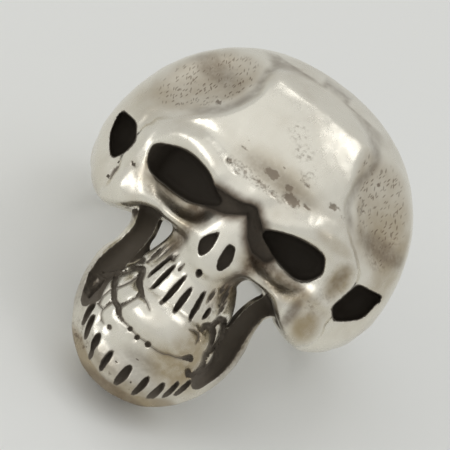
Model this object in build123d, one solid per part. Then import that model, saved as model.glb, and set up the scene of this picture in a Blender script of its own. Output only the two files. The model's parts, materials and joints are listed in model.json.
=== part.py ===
from build123d import *
import os

import numpy as np

# Skull ring cast in one piece. Everything is shaped upright, with the finger's axis along z,
# x to the viewer's right and the face towards -y, then tipped back to the pose it rests in.

# Finger hole and band
FINGER_DIAMETER = 20.0
FLARE = 0.5                    # the hole is this much wider all round above and below the band
BORE_STOCK = 0.25              # left in the band for the last cut
BAND_HEIGHT_BACK = 5.6
BAND_HEIGHT_SHOULDER = 9.4
BAND_THICKNESS_BACK = 2.1
BAND_THICKNESS_SHOULDER = 3.5
BAND_DROP = 0.0                # the band's middle lies this far under the eyes
BAND_SQUARE = 2.4              # of its section: 2 is an ellipse, more is squarer
SHOULDER_ANGLE = 20.0          # degrees ahead of the sides, where the band is heaviest
BAND_END_ANGLE = 49.0          # degrees ahead of the sides, where it ends inside the head

# Head
HEAD_WIDTH = 26.8
HEAD_HEIGHT = 26.8
HEAD_DEPTH = 18.0              # of the whole rounded form
HEAD_STAND = 8.4               # of its front, ahead of the finger
HEAD_SQUARE = 2.15             # 2 is an ellipsoid, more is squarer
HEAD_WALL = 2.0                # left round the hollow behind the forehead
HOLLOW_ANGLE = 40.0            # degrees from straight ahead to that hollow's sides
PLATE_PROUD = 0.7              # raised plate of the forehead
TEMPLE_DEPTH = 1.4
TEMPLE_LENGTH = 22.0           # of the rounded form that dishes each temple
TEMPLE_WIDTH = 14.0
TEMPLE_LEAN = 40.0             # of its length, in degrees from upright
BROW_THICKNESS = 2.2
BROW_PROUD = 1.3
EYE_RIM_THICKNESS = 1.6
EYE_RIM_PROUD = 0.45
CHEEK_SIZE = 3.2
MIDFACE_DEPTH = 1.2            # set back between brow and cheekbones
MIDFACE_ROUND = 7.4            # front to back, of the form that sets it back
EYE_FLOOR = 2.3                # metal between an eye's floor and the finger
EYE_CHAMBER = 3.8              # depth of the wider space behind the lids
WALL_SLOPE = 2.4               # of the left eye's outer wall, depth for each width
ARCH_FLOOR = 0.2               # the cheek openings end this far behind the finger's front
ARCH_CORNER = 0.3

# Nose
NOSE_WIDTH = 5.2
NOSE_HEIGHT = 5.9
NOSE_PROUD = 9.45              # ahead of the finger
NOSTRIL_WIDTH = 0.95
NOSTRIL_HEIGHT = 2.4
NOSTRIL_DEPTH = 1.2

# Jaws and teeth
JAW_WIDTH = 14.3
JAW_DROP = 17.15               # from the eyes down to the chin
JAW_SHIFT = 0.45               # hand carved, it hangs a little to the viewer's left
ARM_THICKNESS = 2.9
ARM_HOLLOW = 1.9               # width of the hollow along each arm's outer face
UPPER_JAW_WIDTH = 8.1
GUM_DEPTH = 8.8                # its front, ahead of the finger
GUM_ROUND = 10.6               # front to back, of the rounded form behind the roots
TEETH_WIDTH = 10.5
TEETH_HEIGHT = 7.2
TEETH_PROUD = 9.65
TEETH_ROUND = 10.9
SCOOP_DEPTH = 6.2              # hollow behind the teeth, from the finger forwards
SLOT_WIDTH = 0.54
SLOT_DEPTH = 0.75

# Joins between forms are rounded over these distances
BROAD = 1.2
WIDE = 0.9
SOFT = 0.6
TIGHT = 0.35
CRISP = 0.15

BORE = FINGER_DIAMETER / 2
HALF_WIDTH = HEAD_WIDTH / 2
HALF_HEIGHT = HEAD_HEIGHT / 2
HALF_JAW = JAW_WIDTH / 2
HEAD_SEMI = np.array([HEAD_WIDTH, HEAD_DEPTH, HEAD_HEIGHT]) / 2
HEAD_CENTRE = np.array([0.0, HEAD_DEPTH / 2 - HEAD_STAND - BORE, 0.015 * HALF_HEIGHT])

# In the head's tables x is a share of half the width and z a share of half the height.
# z, half width of the forehead plate to the left, to the right
PLATE = np.array([
    (0.18, 0.74, 0.72),
    (0.30, 0.62, 0.57),
    (0.37, 0.54, 0.49),
    (0.45, 0.49, 0.42),
    (0.52, 0.445, 0.405),
    (0.60, 0.41, 0.39),
    (0.67, 0.39, 0.40),
    (0.75, 0.40, 0.42),
    (0.82, 0.39, 0.385),
    (0.88, 0.355, 0.31),
    (0.915, 0.25, 0.22),
    (0.95, 0.04, 0.04),
])
# x, z of the head's lower edge
LOWER_EDGE = np.array([
    (-1.05, 0.04),
    (-0.97, -0.16),
    (-0.90, -0.28),
    (-0.82, -0.36),
    (-0.75, -0.39),
    (-0.67, -0.38),
    (-0.60, -0.335),
    (-0.52, -0.275),
    (-0.45, -0.25),
    (-0.34, -0.255),
    (0.00, -0.27),
    (0.26, -0.245),
    (0.36, -0.245),
    (0.42, -0.262),
    (0.485, -0.31),
    (0.54, -0.345),
    (0.60, -0.38),
    (0.67, -0.40),
    (0.75, -0.40),
    (0.82, -0.36),
    (0.90, -0.28),
    (0.97, -0.16),
    (1.05, 0.04),
])
# x, z, share of BROW_THICKNESS, share of BROW_PROUD
BROWS = [
    [(-0.71, 0.09, 0.73, 0.4), (-0.65, 0.16, 0.82, 0.6), (-0.54, 0.205, 0.95, 0.85),
     (-0.39, 0.20, 1.0, 1.0), (-0.25, 0.15, 1.0, 1.0), (-0.15, 0.13, 1.0, 0.8),
     (0.0, 0.17, 1.09, 0.6)],
    [(0.69, 0.11, 0.73, 0.4), (0.63, 0.17, 0.82, 0.6), (0.515, 0.213, 0.95, 0.9),
     (0.37, 0.20, 1.0, 1.0), (0.25, 0.15, 1.0, 1.0), (0.15, 0.13, 1.0, 0.8),
     (0.0, 0.17, 1.09, 0.6)],
]
# x, z, share of EYE_RIM_THICKNESS, share of EYE_RIM_PROUD
EYE_RIMS = [
    [(-0.71, 0.09, 1.0, 1.0), (-0.735, -0.04, 0.94, 1.0), (-0.69, -0.19, 1.25, 1.33)],
    [(0.69, 0.11, 1.0, 1.0), (0.71, -0.03, 0.94, 1.0), (0.70, -0.21, 1.25, 1.33)],
]
CHEEKS = [(-0.65, -0.245), (0.67, -0.27)]       # x, z
CHEEK_SUNK = 0.20                               # share of CHEEK_SIZE
TEMPLES = [(-0.69, 0.575), (0.69, 0.55)]        # x, z
MIDFACE = (0.4, -0.06, 0.29, 0.187)             # |x|, z, half width, half height
EYE_MIDDLE = 0.026
EYE_HALF_HEIGHT = 0.157
# x, top z, bottom z
EYES = [
    [(-0.675, 0.055, 0.02), (-0.655, 0.072, -0.025), (-0.612, 0.096, -0.068), (-0.555, 0.122, -0.084),
     (-0.485, 0.137, -0.089), (-0.373, 0.13, -0.089), (-0.299, 0.106, -0.078), (-0.224, 0.058, -0.045),
     (-0.149, 0.03, 0.0)],
    [(0.149, 0.045, 0.015), (0.224, 0.082, -0.016), (0.299, 0.112, -0.045), (0.403, 0.132, -0.068),
     (0.47, 0.134, -0.068), (0.53, 0.115, -0.03), (0.565, 0.065, 0.02)],
]
# corners x, z of the opening under each cheekbone's arch, anticlockwise
ARCHES = [
    [(-0.945, 0.104), (-0.935, -0.022), (-0.866, -0.127), (-0.828, -0.153), (-0.787, -0.09),
     (-0.776, 0.007), (-0.836, 0.093)],
    [(0.94, 0.146), (0.784, 0.119), (0.739, -0.082), (0.795, -0.134), (0.888, -0.067), (0.925, -0.015)],
]
NOSTRILS = [(-0.43, -0.12), (0.385, 0.05)]      # share of half NOSE_WIDTH, lean in radians
NOSE_TOP = 0.05
# share of NOSE_HEIGHT below its top, inset as a share of NOSE_WIDTH, share of the width
NOSE = [
    (0.12, 0.19, 0.28),
    (0.34, 0.33, 0.72),
    (0.56, 0.43, 0.96),
    (0.74, 0.36, 0.72),
]
# groove from eye to eye over the nose: x, z, half width as a share of half the head's width, floor
# as a share of HEAD_STAND ahead of the finger
BRIDGE = np.array([
    (-0.20, 0.015, 0.058, 0.70),
    (-0.115, 0.030, 0.050, 0.82),
    (-0.068, 0.047, 0.038, 0.86),
    (-0.03, 0.065, 0.029, 0.87),
    (0.0, 0.080, 0.026, 0.87),
    (0.023, 0.083, 0.027, 0.87),
    (0.048, 0.062, 0.029, 0.86),
    (0.082, 0.030, 0.038, 0.83),
    (0.127, -0.018, 0.047, 0.78),
    (0.18, -0.050, 0.050, 0.74),
    (0.24, -0.058, 0.045, 0.73),
])
NOSTRIL_LEVEL = -0.21
HOLLOW_FLOOR = 0.31
HOLLOW_TOP = 0.78

# In the jaws' tables x is a share of HALF_JAW, y of HEAD_STAND and z of JAW_DROP.
# x as a share of UPPER_JAW_WIDTH, y, z, share of UPPER_JAW_WIDTH
UPPER_JAW = [
    (-0.02, -0.583, -0.14, 0.73),
    (-0.047, -0.565, -0.235, 0.83),
    (-0.058, -0.56, -0.27, 0.835),
    (-0.058, -0.55, -0.315, 0.87),
    (-0.049, -0.53, -0.35, 0.925),
    (-0.031, -0.50, -0.40, 1.02),
    (-0.019, -0.452, -0.49, 1.16),
]
# |x|, y, z, share of ARM_THICKNESS
ARM = [
    (1.063, 0.17, -0.058, 1.10),
    (0.909, 0.0, -0.198, 0.97),
    (0.804, -0.083, -0.303, 0.93),
    (0.811, -0.119, -0.42, 1.0),
    (0.839, -0.226, -0.542, 1.07),
    (0.783, -0.417, -0.688, 1.14),
    (0.601, -0.607, -0.81, 1.21),
    (0.308, -0.726, -0.886, 1.28),
    (0.0, -0.762, -0.898, 1.24),
]
# the same, of the metal that closes the left gap under z -0.35
WEB = [(-0.66, -0.10, -0.40, 0.55), (-0.66, -0.13, -0.45, 0.66), (-0.66, -0.17, -0.52, 0.76)]
ARM_HOLLOW_ROWS = slice(1, 6)
ARM_HOLLOW_IN = 0.18           # shares of ARM_HOLLOW, inwards and forwards of the arm's middle
ARM_HOLLOW_FORWARD = 0.16
JAW_SHIFT_SPAN = (-0.17, -0.52) # levels between which the jaw goes over to its side
# z, half width to the left, to the right, above the jaw's widest level
ARM_OUTLINE = np.array([
    (-0.525, 1.07, 0.93),
    (-0.466, 1.05, 0.92),
    (-0.408, 0.99, 0.89),
    (-0.35, 0.98, 0.875),
    (-0.292, 1.0, 0.89),
    (-0.233, 1.12, 1.01),
    (-0.058, 1.37, 1.33),
])
WIDEST_LEVEL = -0.525
GUM = (0.8, 0.286, -0.694)      # half width, half height, z
TEETH = (-0.028, -0.612)        # x, z
SCOOP = (0.6, 0.227, -0.66)     # half width, half height, z, behind the teeth
# x, top z, bottom z
UPPER_SLOTS = [
    (-0.483, -0.303, -0.408), (-0.413, -0.338, -0.461), (-0.294, -0.356, -0.484), (-0.133, -0.367, -0.501),
    (0.014, -0.397, -0.501), (0.196, -0.373, -0.49), (0.329, -0.402, -0.455), (0.413, -0.321, -0.397),
]
LOWER_SLOTS = [
    (-0.853, -0.595, -0.694), (-0.755, -0.723, -0.781), (-0.629, -0.764, -0.845), (-0.476, -0.81, -0.88),
    (-0.252, -0.84, -0.921), (0.0, -0.84, -0.927), (0.224, -0.834, -0.915), (0.406, -0.816, -0.91),
    (0.531, -0.781, -0.869), (0.643, -0.729, -0.81),
]


def union(a, b, k):
    """Both shapes, their join rounded over a distance of about k."""
    h = np.maximum(k - np.abs(a - b), 0) / k
    return np.minimum(a, b) - h * h * k / 4


def meet(a, b, k):
    """What lies in both shapes."""
    return -union(-a, -b, k)


def carve(a, b, k):
    """The first shape without the second."""
    return meet(a, -b, k)


def ease(t):
    """Smooth step from 0 to 1."""
    t = np.clip(t, 0, 1)
    return t * t * (3 - 2 * t)


def bend(u, knots, values):
    """Smooth curve through the values at the knots."""
    slope = np.gradient(values, knots)
    u = np.clip(u, knots[0], knots[-1])
    i = np.clip(np.searchsorted(knots, u) - 1, 0, len(knots) - 2)
    h = knots[i + 1] - knots[i]
    t = (u - knots[i]) / h
    start = (2 * t**3 - 3 * t**2 + 1) * values[i] + (t**3 - 2 * t**2 + t) * h * slope[i]
    return start + (3 * t**2 - 2 * t**3) * values[i + 1] + (t**3 - t**2) * h * slope[i + 1]


def rounded(p, centre, semi, square=2.0):
    """Ellipsoid, or a squarer one."""
    q = np.abs(p - centre) / semi
    size = np.maximum((q**square).sum(1), 1e-9)**(1 / square)
    slope = np.linalg.norm(q**(square - 1) / semi, axis=1) * size**(1 - square)
    return (size - 1) / np.maximum(slope, 1e-6)


def tube(p, rows, between=3):
    """Round bar along a smooth path through rows of x, y, z, radius."""
    rows = np.array(rows, float)
    if len(rows) > 2:
        run = np.concatenate([[0], np.cumsum(np.linalg.norm(np.diff(rows[:, :3], axis=0), axis=1))])
        at = np.interp(np.arange((len(rows) - 1) * between + 1) / between, np.arange(len(rows)), run)
        rows = np.stack([bend(at, run, rows[:, c]) for c in range(4)], 1)
    low = (rows[:, :3] - rows[:, 3:]).min(0)
    high = (rows[:, :3] + rows[:, 3:]).max(0)
    d = np.linalg.norm(np.maximum(np.maximum(low - p, p - high), 0), axis=1)
    near = np.flatnonzero(d < 2 * WIDE)
    q = p[near]
    best = np.full(len(q), np.inf)
    for a, b in zip(rows[:-1], rows[1:]):
        along = b[:3] - a[:3]
        t = np.clip((q - a[:3]) @ along / (along @ along), 0, 1)
        off = np.linalg.norm(q - a[:3] - t[:, None] * along, axis=1)
        best = np.minimum(best, off - a[3] - (b[3] - a[3]) * t)
    d[near] = best
    return d


def skin(x, z):
    """y of the bare head's front."""
    across = np.abs(x / HEAD_SEMI[0])**HEAD_SQUARE
    upright = np.abs((z - HEAD_CENTRE[2]) / HEAD_SEMI[2])**HEAD_SQUARE
    inside = 1 - across - upright
    return HEAD_CENTRE[1] - HEAD_SEMI[1] * np.maximum(inside, 0.02)**(1 / HEAD_SQUARE)


def on_skin(rows, thickness, proud):
    """Bars laid on the head, as rows for tube()."""
    laid = []
    for x, z, share, stand in rows:
        x, z, radius = x * HALF_WIDTH, z * HALF_HEIGHT, share * thickness / 2
        laid.append((x, skin(x, z) + radius - stand * proud, z, radius))
    return laid


def by_side(x, z, table):
    """The table's second column at z to the left of the middle, its third to the right."""
    return np.where(x < 0, bend(z, table[:, 0], table[:, 1]), bend(z, table[:, 0], table[:, 2]))


def head(p):
    x, y, z = p.T
    d = rounded(p, HEAD_CENTRE, HEAD_SEMI, HEAD_SQUARE)
    u, v = x / HALF_WIDTH, z / HALF_HEIGHT
    inset = np.minimum((by_side(u, v, PLATE) - np.abs(u)) * HALF_WIDTH, (PLATE[-1, 0] - v) * HALF_HEIGHT)
    facing = (HEAD_CENTRE[1] - y) / (HEAD_DEPTH / 6)
    d = d - PLATE_PROUD * ease(inset / WIDE + 0.5) * ease(facing)
    lean = np.radians(TEMPLE_LEAN)
    for cx, cz in TEMPLES:
        at = np.array([cx * HALF_WIDTH, skin(cx * HALF_WIDTH, cz * HALF_HEIGHT), cz * HALF_HEIGHT])
        out = (at - HEAD_CENTRE) / HEAD_SEMI**2
        out /= np.linalg.norm(out)
        along = np.array([np.sign(cx) * np.sin(lean), 0.0, -np.cos(lean)])
        along -= out * (along @ out)
        along /= np.linalg.norm(along)
        q = p - (at + out * (TEMPLE_WIDTH / 2 - TEMPLE_DEPTH))
        local = np.stack([q @ along, q @ np.cross(out, along), q @ out], 1)
        semi = np.array([TEMPLE_LENGTH, TEMPLE_WIDTH, TEMPLE_WIDTH]) / 2
        d = carve(d, rounded(local, 0.0, semi), SOFT)
    return d


def arms(p):
    """The lower jaw's two arms, each hollowed along its outer face."""
    both = np.full(len(p), np.inf)
    shift_from, shift_to = JAW_SHIFT_SPAN
    for side in (-1, 1):
        rows = []
        for x, y, z, share in ARM:
            across = side * x * HALF_JAW - JAW_SHIFT * ease((z - shift_from) / (shift_to - shift_from))
            rows.append((across, y * HEAD_STAND - BORE, z * JAW_DROP, share * ARM_THICKNESS / 2))
        hollow = []
        for x, y, z, radius in rows[ARM_HOLLOW_ROWS]:
            x -= side * ARM_HOLLOW_IN * ARM_HOLLOW
            y -= radius + ARM_HOLLOW_FORWARD * ARM_HOLLOW
            hollow.append((x, y, z, ARM_HOLLOW / 2))
        arm = carve(tube(p, rows), tube(p, hollow), TIGHT)
        both = arm if side < 0 else union(both, arm, WIDE)
    web = [(x * HALF_JAW, y * HEAD_STAND - BORE, z * JAW_DROP, share * ARM_THICKNESS / 2)
           for x, y, z, share in WEB]
    return union(both, tube(p, web), SOFT)


def bridge(p):
    """The groove over the nose, open to the front."""
    off = np.full(len(p), HALF_WIDTH)
    found = np.zeros((len(p), 2))
    near = np.flatnonzero(np.hypot(p[:, 0], p[:, 2]) < HALF_WIDTH / 2)
    q = p[near][:, [0, 2]]
    rows = BRIDGE * (HALF_WIDTH, HALF_HEIGHT, HALF_WIDTH, HEAD_STAND)
    for a, b in zip(rows[:-1], rows[1:]):
        run = b[:2] - a[:2]
        t = np.clip((q - a[:2]) @ run / (run @ run), 0, 1)[:, None]
        away = np.linalg.norm(q - a[:2] - t * run, axis=1)
        closer = away < off[near]
        off[near[closer]] = away[closer]
        found[near[closer]] = (a[2:] + (b[2:] - a[2:]) * t)[closer]
    return meet(off - found[:, 0], p[:, 1] + BORE + found[:, 1], SOFT)


def cast(p):
    """The ring's front, before any hole is cut."""
    x, y, z = p.T
    d = head(p)
    semi = np.array([MIDFACE[2] * HALF_WIDTH, MIDFACE_ROUND / 2, MIDFACE[3] * HALF_HEIGHT])
    for side in (-1, 1):
        cx, cz = side * MIDFACE[0] * HALF_WIDTH, MIDFACE[1] * HALF_HEIGHT
        centre = (cx, skin(cx, cz) - semi[1] + MIDFACE_DEPTH, cz)
        d = carve(d, rounded(p, centre, semi), WIDE)
    edge = bend(x / HALF_WIDTH, LOWER_EDGE[:, 0], LOWER_EDGE[:, 1]) * HALF_HEIGHT
    d = meet(d, edge - z, BROAD)
    for rows in BROWS:
        d = union(d, tube(p, on_skin(rows, BROW_THICKNESS, BROW_PROUD)), WIDE)
    for rows in EYE_RIMS:
        d = union(d, tube(p, on_skin(rows, EYE_RIM_THICKNESS, EYE_RIM_PROUD)), SOFT)
    for cx, cz in CHEEKS:
        cx, cz = cx * HALF_WIDTH, cz * HALF_HEIGHT
        d = union(d, rounded(p, (cx, skin(cx, cz) + CHEEK_SUNK * CHEEK_SIZE, cz), CHEEK_SIZE / 2), TIGHT)
    column = [(x * UPPER_JAW_WIDTH, y * HEAD_STAND - BORE, z * JAW_DROP, share * UPPER_JAW_WIDTH / 2)
              for x, y, z, share in UPPER_JAW]
    d = union(d, tube(p, column), WIDE)
    tip = -NOSE_PROUD - BORE
    top = NOSE_TOP * HALF_HEIGHT
    nose = [(0.0, tip + inset * NOSE_WIDTH, top - drop * NOSE_HEIGHT, share * NOSE_WIDTH / 2)
            for drop, inset, share in NOSE]
    d = union(d, meet(tube(p, nose), tip - y, SOFT), WIDE)
    d = carve(d, bridge(p), TIGHT)
    level = WIDEST_LEVEL * JAW_DROP
    gum_semi = np.array([GUM[0] * HALF_JAW, GUM_ROUND / 2, GUM[1] * JAW_DROP])
    gum = rounded(p, (-JAW_SHIFT, gum_semi[1] - GUM_DEPTH - BORE, GUM[2] * JAW_DROP), gum_semi)
    oval = np.hypot((x + JAW_SHIFT) / HALF_JAW, (z - level) / (JAW_DROP + level))
    outline = by_side(x, z / JAW_DROP, ARM_OUTLINE) * HALF_JAW
    limit = np.where(z < level, (oval - 1) * HALF_JAW, np.abs(x) - outline)
    d = union(d, meet(union(arms(p), gum, WIDE), limit, SOFT), SOFT)
    teeth_semi = np.array([TEETH_WIDTH, TEETH_ROUND, TEETH_HEIGHT]) / 2
    at = (TEETH[0] * HALF_JAW, teeth_semi[1] - TEETH_PROUD - BORE, TEETH[1] * JAW_DROP)
    teeth = rounded(p, at, teeth_semi)
    return union(d, teeth, TIGHT)


def band(p):
    """The band round the back of the finger, heavier at the shoulders."""
    x, y, z = p.T
    rho = np.hypot(x, y)
    turn = np.arctan2(y, np.abs(x))
    start = np.radians(SHOULDER_ANGLE)
    t = ease((turn + start) / (np.pi / 2 + start))
    high = (BAND_HEIGHT_SHOULDER + (BAND_HEIGHT_BACK - BAND_HEIGHT_SHOULDER) * t) / 2
    thick = BAND_THICKNESS_SHOULDER + (BAND_THICKNESS_BACK - BAND_THICKNESS_SHOULDER) * t
    across = np.abs((rho - BORE) / thick)**BAND_SQUARE
    upright = np.abs((z + BAND_DROP) / high)**BAND_SQUARE
    size = (across + upright)**(1 / BAND_SQUARE)
    end = (-turn - np.radians(BAND_END_ANGLE)) * rho
    return meet((size - 1) * np.minimum(high, thick), end, WIDE)


def front(x, z):
    """y where the cast face is met when coming from the front."""
    y = np.linspace(-TEETH_PROUD - BORE - WIDE, -BORE, 160)
    points = np.stack(np.broadcast_arrays(np.reshape(x, (-1, 1)), y, np.reshape(z, (-1, 1))), -1)
    value = cast(points.reshape(-1, 3)).reshape(-1, len(y))
    hit = np.argmax(value < 0, axis=1)
    row = np.arange(len(value))
    share = value[row, hit - 1] / (value[row, hit - 1] - value[row, hit])
    return y[hit - 1] + share * (y[1] - y[0])


def ring(p):
    """Signed distance, near enough, to the ring without its cut details."""
    x, y, z = p.T
    rho = np.hypot(x, y)
    outer = cast(p)
    d = union(outer, band(p), BROAD)
    angle = np.radians(HOLLOW_ANGLE)
    wedge = np.abs(x) * np.cos(angle) + y * np.sin(angle)
    level = np.maximum(HOLLOW_FLOOR * HALF_HEIGHT - z, z - HOLLOW_TOP * HALF_HEIGHT)
    d = carve(d, meet(meet(outer + HEAD_WALL, wedge, WIDE), level, BROAD), SOFT)
    scoop = np.array([SCOOP[0] * HALF_JAW, SCOOP_DEPTH, SCOOP[1] * JAW_DROP])
    d = carve(d, rounded(p, (0.0, -BORE, SCOOP[2] * JAW_DROP), scoop), SOFT)
    floor = y + BORE + EYE_FLOOR
    for eye in EYES:
        knots, upper, lower = np.array(eye).T * [[HALF_WIDTH], [HALF_HEIGHT], [HALF_HEIGHT]]
        opening = meet(z - bend(x, knots, upper), bend(x, knots, lower) - z, TIGHT)
        opening = meet(opening, np.maximum(knots[0] - x, x - knots[-1]), TIGHT)
        semi = np.array([(knots[-1] - knots[0]) / 2, EYE_CHAMBER / 2, EYE_HALF_HEIGHT * HALF_HEIGHT])
        middle = ((knots[0] + knots[-1]) / 2, -BORE - EYE_FLOOR - semi[1], EYE_MIDDLE * HALF_HEIGHT)
        chamber = rounded(p, middle, semi)
        hollow = meet(union(opening, chamber, TIGHT), floor, SOFT)
        if knots[0] < 0:
            wall = y - skin(knots[0], 0.0) - (x - knots[0]) * WALL_SLOPE
            hollow = meet(hollow, wall / np.hypot(1, WALL_SLOPE), SOFT)
        d = carve(d, hollow, TIGHT)
    # The hole is left a little small within the band, for the round cut that finishes it
    past = (np.abs(z + BAND_DROP) - BAND_HEIGHT_SHOULDER / 2) / BROAD
    inner = BORE - BORE_STOCK + (FLARE + BORE_STOCK) * ease(past + 0.1)
    return carve(d, rho - inner, CRISP)


# Mesh of the surface: one corner per sheet in each cell that the surface crosses
CORNERS = [(0, 0, 0), (1, 0, 0), (0, 1, 0), (1, 1, 0), (0, 0, 1), (1, 0, 1), (0, 1, 1), (1, 1, 1)]
EDGES = [(a, b) for a in range(8) for b in range(a + 1, 8)
         if np.abs(np.subtract(CORNERS[a], CORNERS[b])).sum() == 1]


def sheets(inside):
    """Which of a cell's edges belong to the same sheet of the surface, as a sheet number per edge."""
    cut = [e for e, (a, b) in enumerate(EDGES) if inside[a] != inside[b]]
    links = {e: [] for e in cut}
    for axis in range(3):
        for side in (0, 1):
            ring_of = [e for e in cut if all(CORNERS[c][axis] == side for c in EDGES[e])]
            pairs = [ring_of] if len(ring_of) == 2 else []
            if len(ring_of) == 4:
                solid = [c for c in range(8) if CORNERS[c][axis] == side and inside[c]]
                pairs = [[e for e in ring_of if c in EDGES[e]] for c in solid]
            for a, b in pairs:
                links[a].append(b)
                links[b].append(a)
    number = [-1] * len(EDGES)
    count = 0
    for first in cut:
        if number[first] >= 0:
            continue
        queue = [first]
        while queue:
            e = queue.pop()
            if number[e] < 0:
                number[e] = count
                queue += links[e]
        count += 1
    return number, count


def levels(*spans):
    """Grid levels through (start, end, cell) spans that follow each other."""
    out = [np.array([spans[0][0]])]
    for start, end, cell in spans:
        out.append(np.linspace(start, end, max(1, round((end - start) / cell)) + 1)[1:])
    return np.concatenate(out)


def surface(field, axes):
    """Corners, quads and cell sizes of the field's zero surface on a grid with these levels."""
    grid = np.stack(np.meshgrid(*axes, indexing="ij"), -1)
    value = field(grid.reshape(-1, 3)).reshape(grid.shape[:3])
    inside = value < 0
    cells = tuple(n - 1 for n in value.shape)
    window = [tuple(slice(o, o + n) for o, n in zip(corner, cells)) for corner in CORNERS]
    kind = sum(inside[w].astype(int) << c for c, w in enumerate(window))
    table = [sheets([(k >> c) & 1 for c in range(8)]) for k in range(256)]
    number = np.array([t[0] for t in table])
    count = np.array([t[1] for t in table])[kind]
    first = np.cumsum(count).reshape(cells) - count
    total = count.sum()
    cell = np.argwhere(count > 0)
    here = tuple(cell.T)
    points = np.zeros((total, 3))
    weight = np.zeros(total)
    for e, (a, b) in enumerate(EDGES):
        sheet = number[kind[here], e]
        on = sheet >= 0
        ids = first[here][on] + sheet[on]
        ia = tuple((cell[on] + CORNERS[a]).T)
        ib = tuple((cell[on] + CORNERS[b]).T)
        share = (value[ia] / (value[ia] - value[ib]))[:, None]
        np.add.at(points, ids, grid[ia] + (grid[ib] - grid[ia]) * share)
        np.add.at(weight, ids, 1)
    points /= weight[:, None]
    owner = np.repeat(cell, count[here], axis=0)
    size = grid[tuple((owner + 1).T)] - grid[tuple(owner.T)]
    quads = []
    for axis in range(3):
        side_a, side_b = [k for k in range(3) if k != axis]
        ahead = np.eye(3, dtype=int)[axis]
        start = np.argwhere(np.diff(inside, axis=axis))
        keep = np.all((start[:, [side_a, side_b]] > 0), axis=1)
        start = start[keep & np.all(start < np.array(value.shape) - 1, axis=1)]
        loop = []
        for da, db in ((1, 1), (0, 1), (0, 0), (1, 0)):
            shift = np.zeros(3, int)
            shift[side_a] = da
            shift[side_b] = db
            e = EDGES.index((CORNERS.index(tuple(shift)), CORNERS.index(tuple(shift + ahead))))
            at = tuple((start - shift).T)
            loop.append(first[at] + number[kind[at], e])
        loop = np.stack(loop, 1)
        outward = inside[tuple(start.T)] != (axis == 1)
        quads.append(np.where(outward[:, None], loop, loop[:, ::-1]))
    return points, np.concatenate(quads), size


def settle(field, points, size, rounds=3, reach=0.6, step=0.01):
    """Moves the corners onto the surface, each within its own cell's reach."""
    moved = points
    for _ in range(rounds):
        ways = np.eye(3) * step
        slope = np.stack([(field(moved + way) - field(moved - way)) / (2 * step) for way in ways], 1)
        pull = field(moved) / np.maximum((slope**2).sum(1), 0.2)
        moved = np.clip(moved - slope * pull[:, None], points - size * reach, points + size * reach)
    return moved


def facets(points, quads):
    """Each quad split across its shorter diagonal, or the other one where two would share a diagonal."""
    a, b, c, d = (points[quads[:, i]] for i in range(4))
    first = np.linalg.norm(a - c, axis=1) <= np.linalg.norm(b - d, axis=1)
    for _ in range(4):
        one, other = quads[first], quads[~first]
        parts = [one[:, [0, 1, 2]], one[:, [0, 2, 3]], other[:, [0, 1, 3]], other[:, [1, 2, 3]]]
        triangles = np.concatenate(parts)
        sides = np.concatenate([triangles[:, [0, 1]], triangles[:, [1, 2]], triangles[:, [2, 0]]])
        sides, uses = np.unique(np.sort(sides, axis=1), axis=0, return_counts=True)
        crowded = sides[uses > 2]
        if not len(crowded):
            break
        diagonal = np.sort(np.where(first[:, None], quads[:, [0, 2]], quads[:, [1, 3]]), axis=1)
        shared = (diagonal[:, None] == crowded[None]).all(2).any(1)
        first = first ^ shared
    return triangles


# Cells are finest over the face and coarse round the back
FINE = HEAD_WIDTH / 43
COARSE = HEAD_WIDTH / 28
BACK = HEAD_WIDTH / 19
MARGIN = 1.5
across = max(HALF_WIDTH + PLATE_PROUD, BORE + BAND_THICKNESS_SHOULDER) + MARGIN
detail = TEETH_WIDTH / 2 + MARGIN
nearest = -BORE - max(TEETH_PROUD, NOSE_PROUD, HEAD_STAND + BROW_PROUD) - MARGIN
furthest = BORE + BAND_THICKNESS_BACK + MARGIN
chin = -JAW_DROP - MARGIN
over_brow = 0.22 * HALF_HEIGHT
crown = HALF_HEIGHT + PLATE_PROUD + MARGIN
axes = (
    levels((-across, -detail, COARSE), (-detail, detail, FINE), (detail, across, COARSE)),
    levels((nearest, -BORE - 1, 1.13 * FINE), (-BORE - 1, furthest, BACK)),
    levels((chin, over_brow, FINE), (over_brow, crown, COARSE)),
)
mesh, quads, sizes = surface(ring, axes)
mesh = settle(ring, mesh, sizes)
triangles = facets(mesh, quads)

# The facets become one solid, then the finger's hole and the small openings are cut true
points = [Vector(*point) for point in mesh]
skin_faces = [Face(Wire.make_polygon([points[i] for i in triangle])) for triangle in triangles]
blank = Solid(Shell(skin_faces))
cutters = [Cylinder(BORE, 4 * HEAD_HEIGHT)]
for x, top, bottom in UPPER_SLOTS + LOWER_SLOTS:
    z = np.array([top, (top + bottom) / 2, bottom]) * JAW_DROP
    at = np.stack([np.full(3, x * HALF_JAW), front(x * HALF_JAW, z), z], 1)
    out = [cast(at[1:2] + way)[0] - cast(at[1:2] - way)[0] for way in np.eye(3) * SLOT_WIDTH / 10]
    lie = Plane(origin=tuple(at[1]), x_dir=tuple(at[0] - at[2]), z_dir=tuple(out))
    outline = SlotOverall(np.linalg.norm(at[0] - at[2]), SLOT_WIDTH)
    cutters.append(extrude(lie * outline, SLOT_DEPTH, both=True))
nose_middle = (0, -NOSE_PROUD - BORE, NOSTRIL_LEVEL * HALF_HEIGHT)
nose_face = Plane(origin=nose_middle, x_dir=(1, 0, 0), z_dir=(0, -1, 0))
for x, lean in NOSTRILS:
    outline = Ellipse(NOSTRIL_WIDTH / 2, NOSTRIL_HEIGHT / 2)
    outline = Pos(x * NOSE_WIDTH / 2, 0) * Rot(0, 0, np.degrees(lean)) * outline
    cutters.append(extrude(nose_face * outline, NOSTRIL_DEPTH, both=True))
arch_floor = Plane(origin=(0, ARCH_FLOOR - BORE, 0), x_dir=(1, 0, 0), z_dir=(0, -1, 0))
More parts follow.
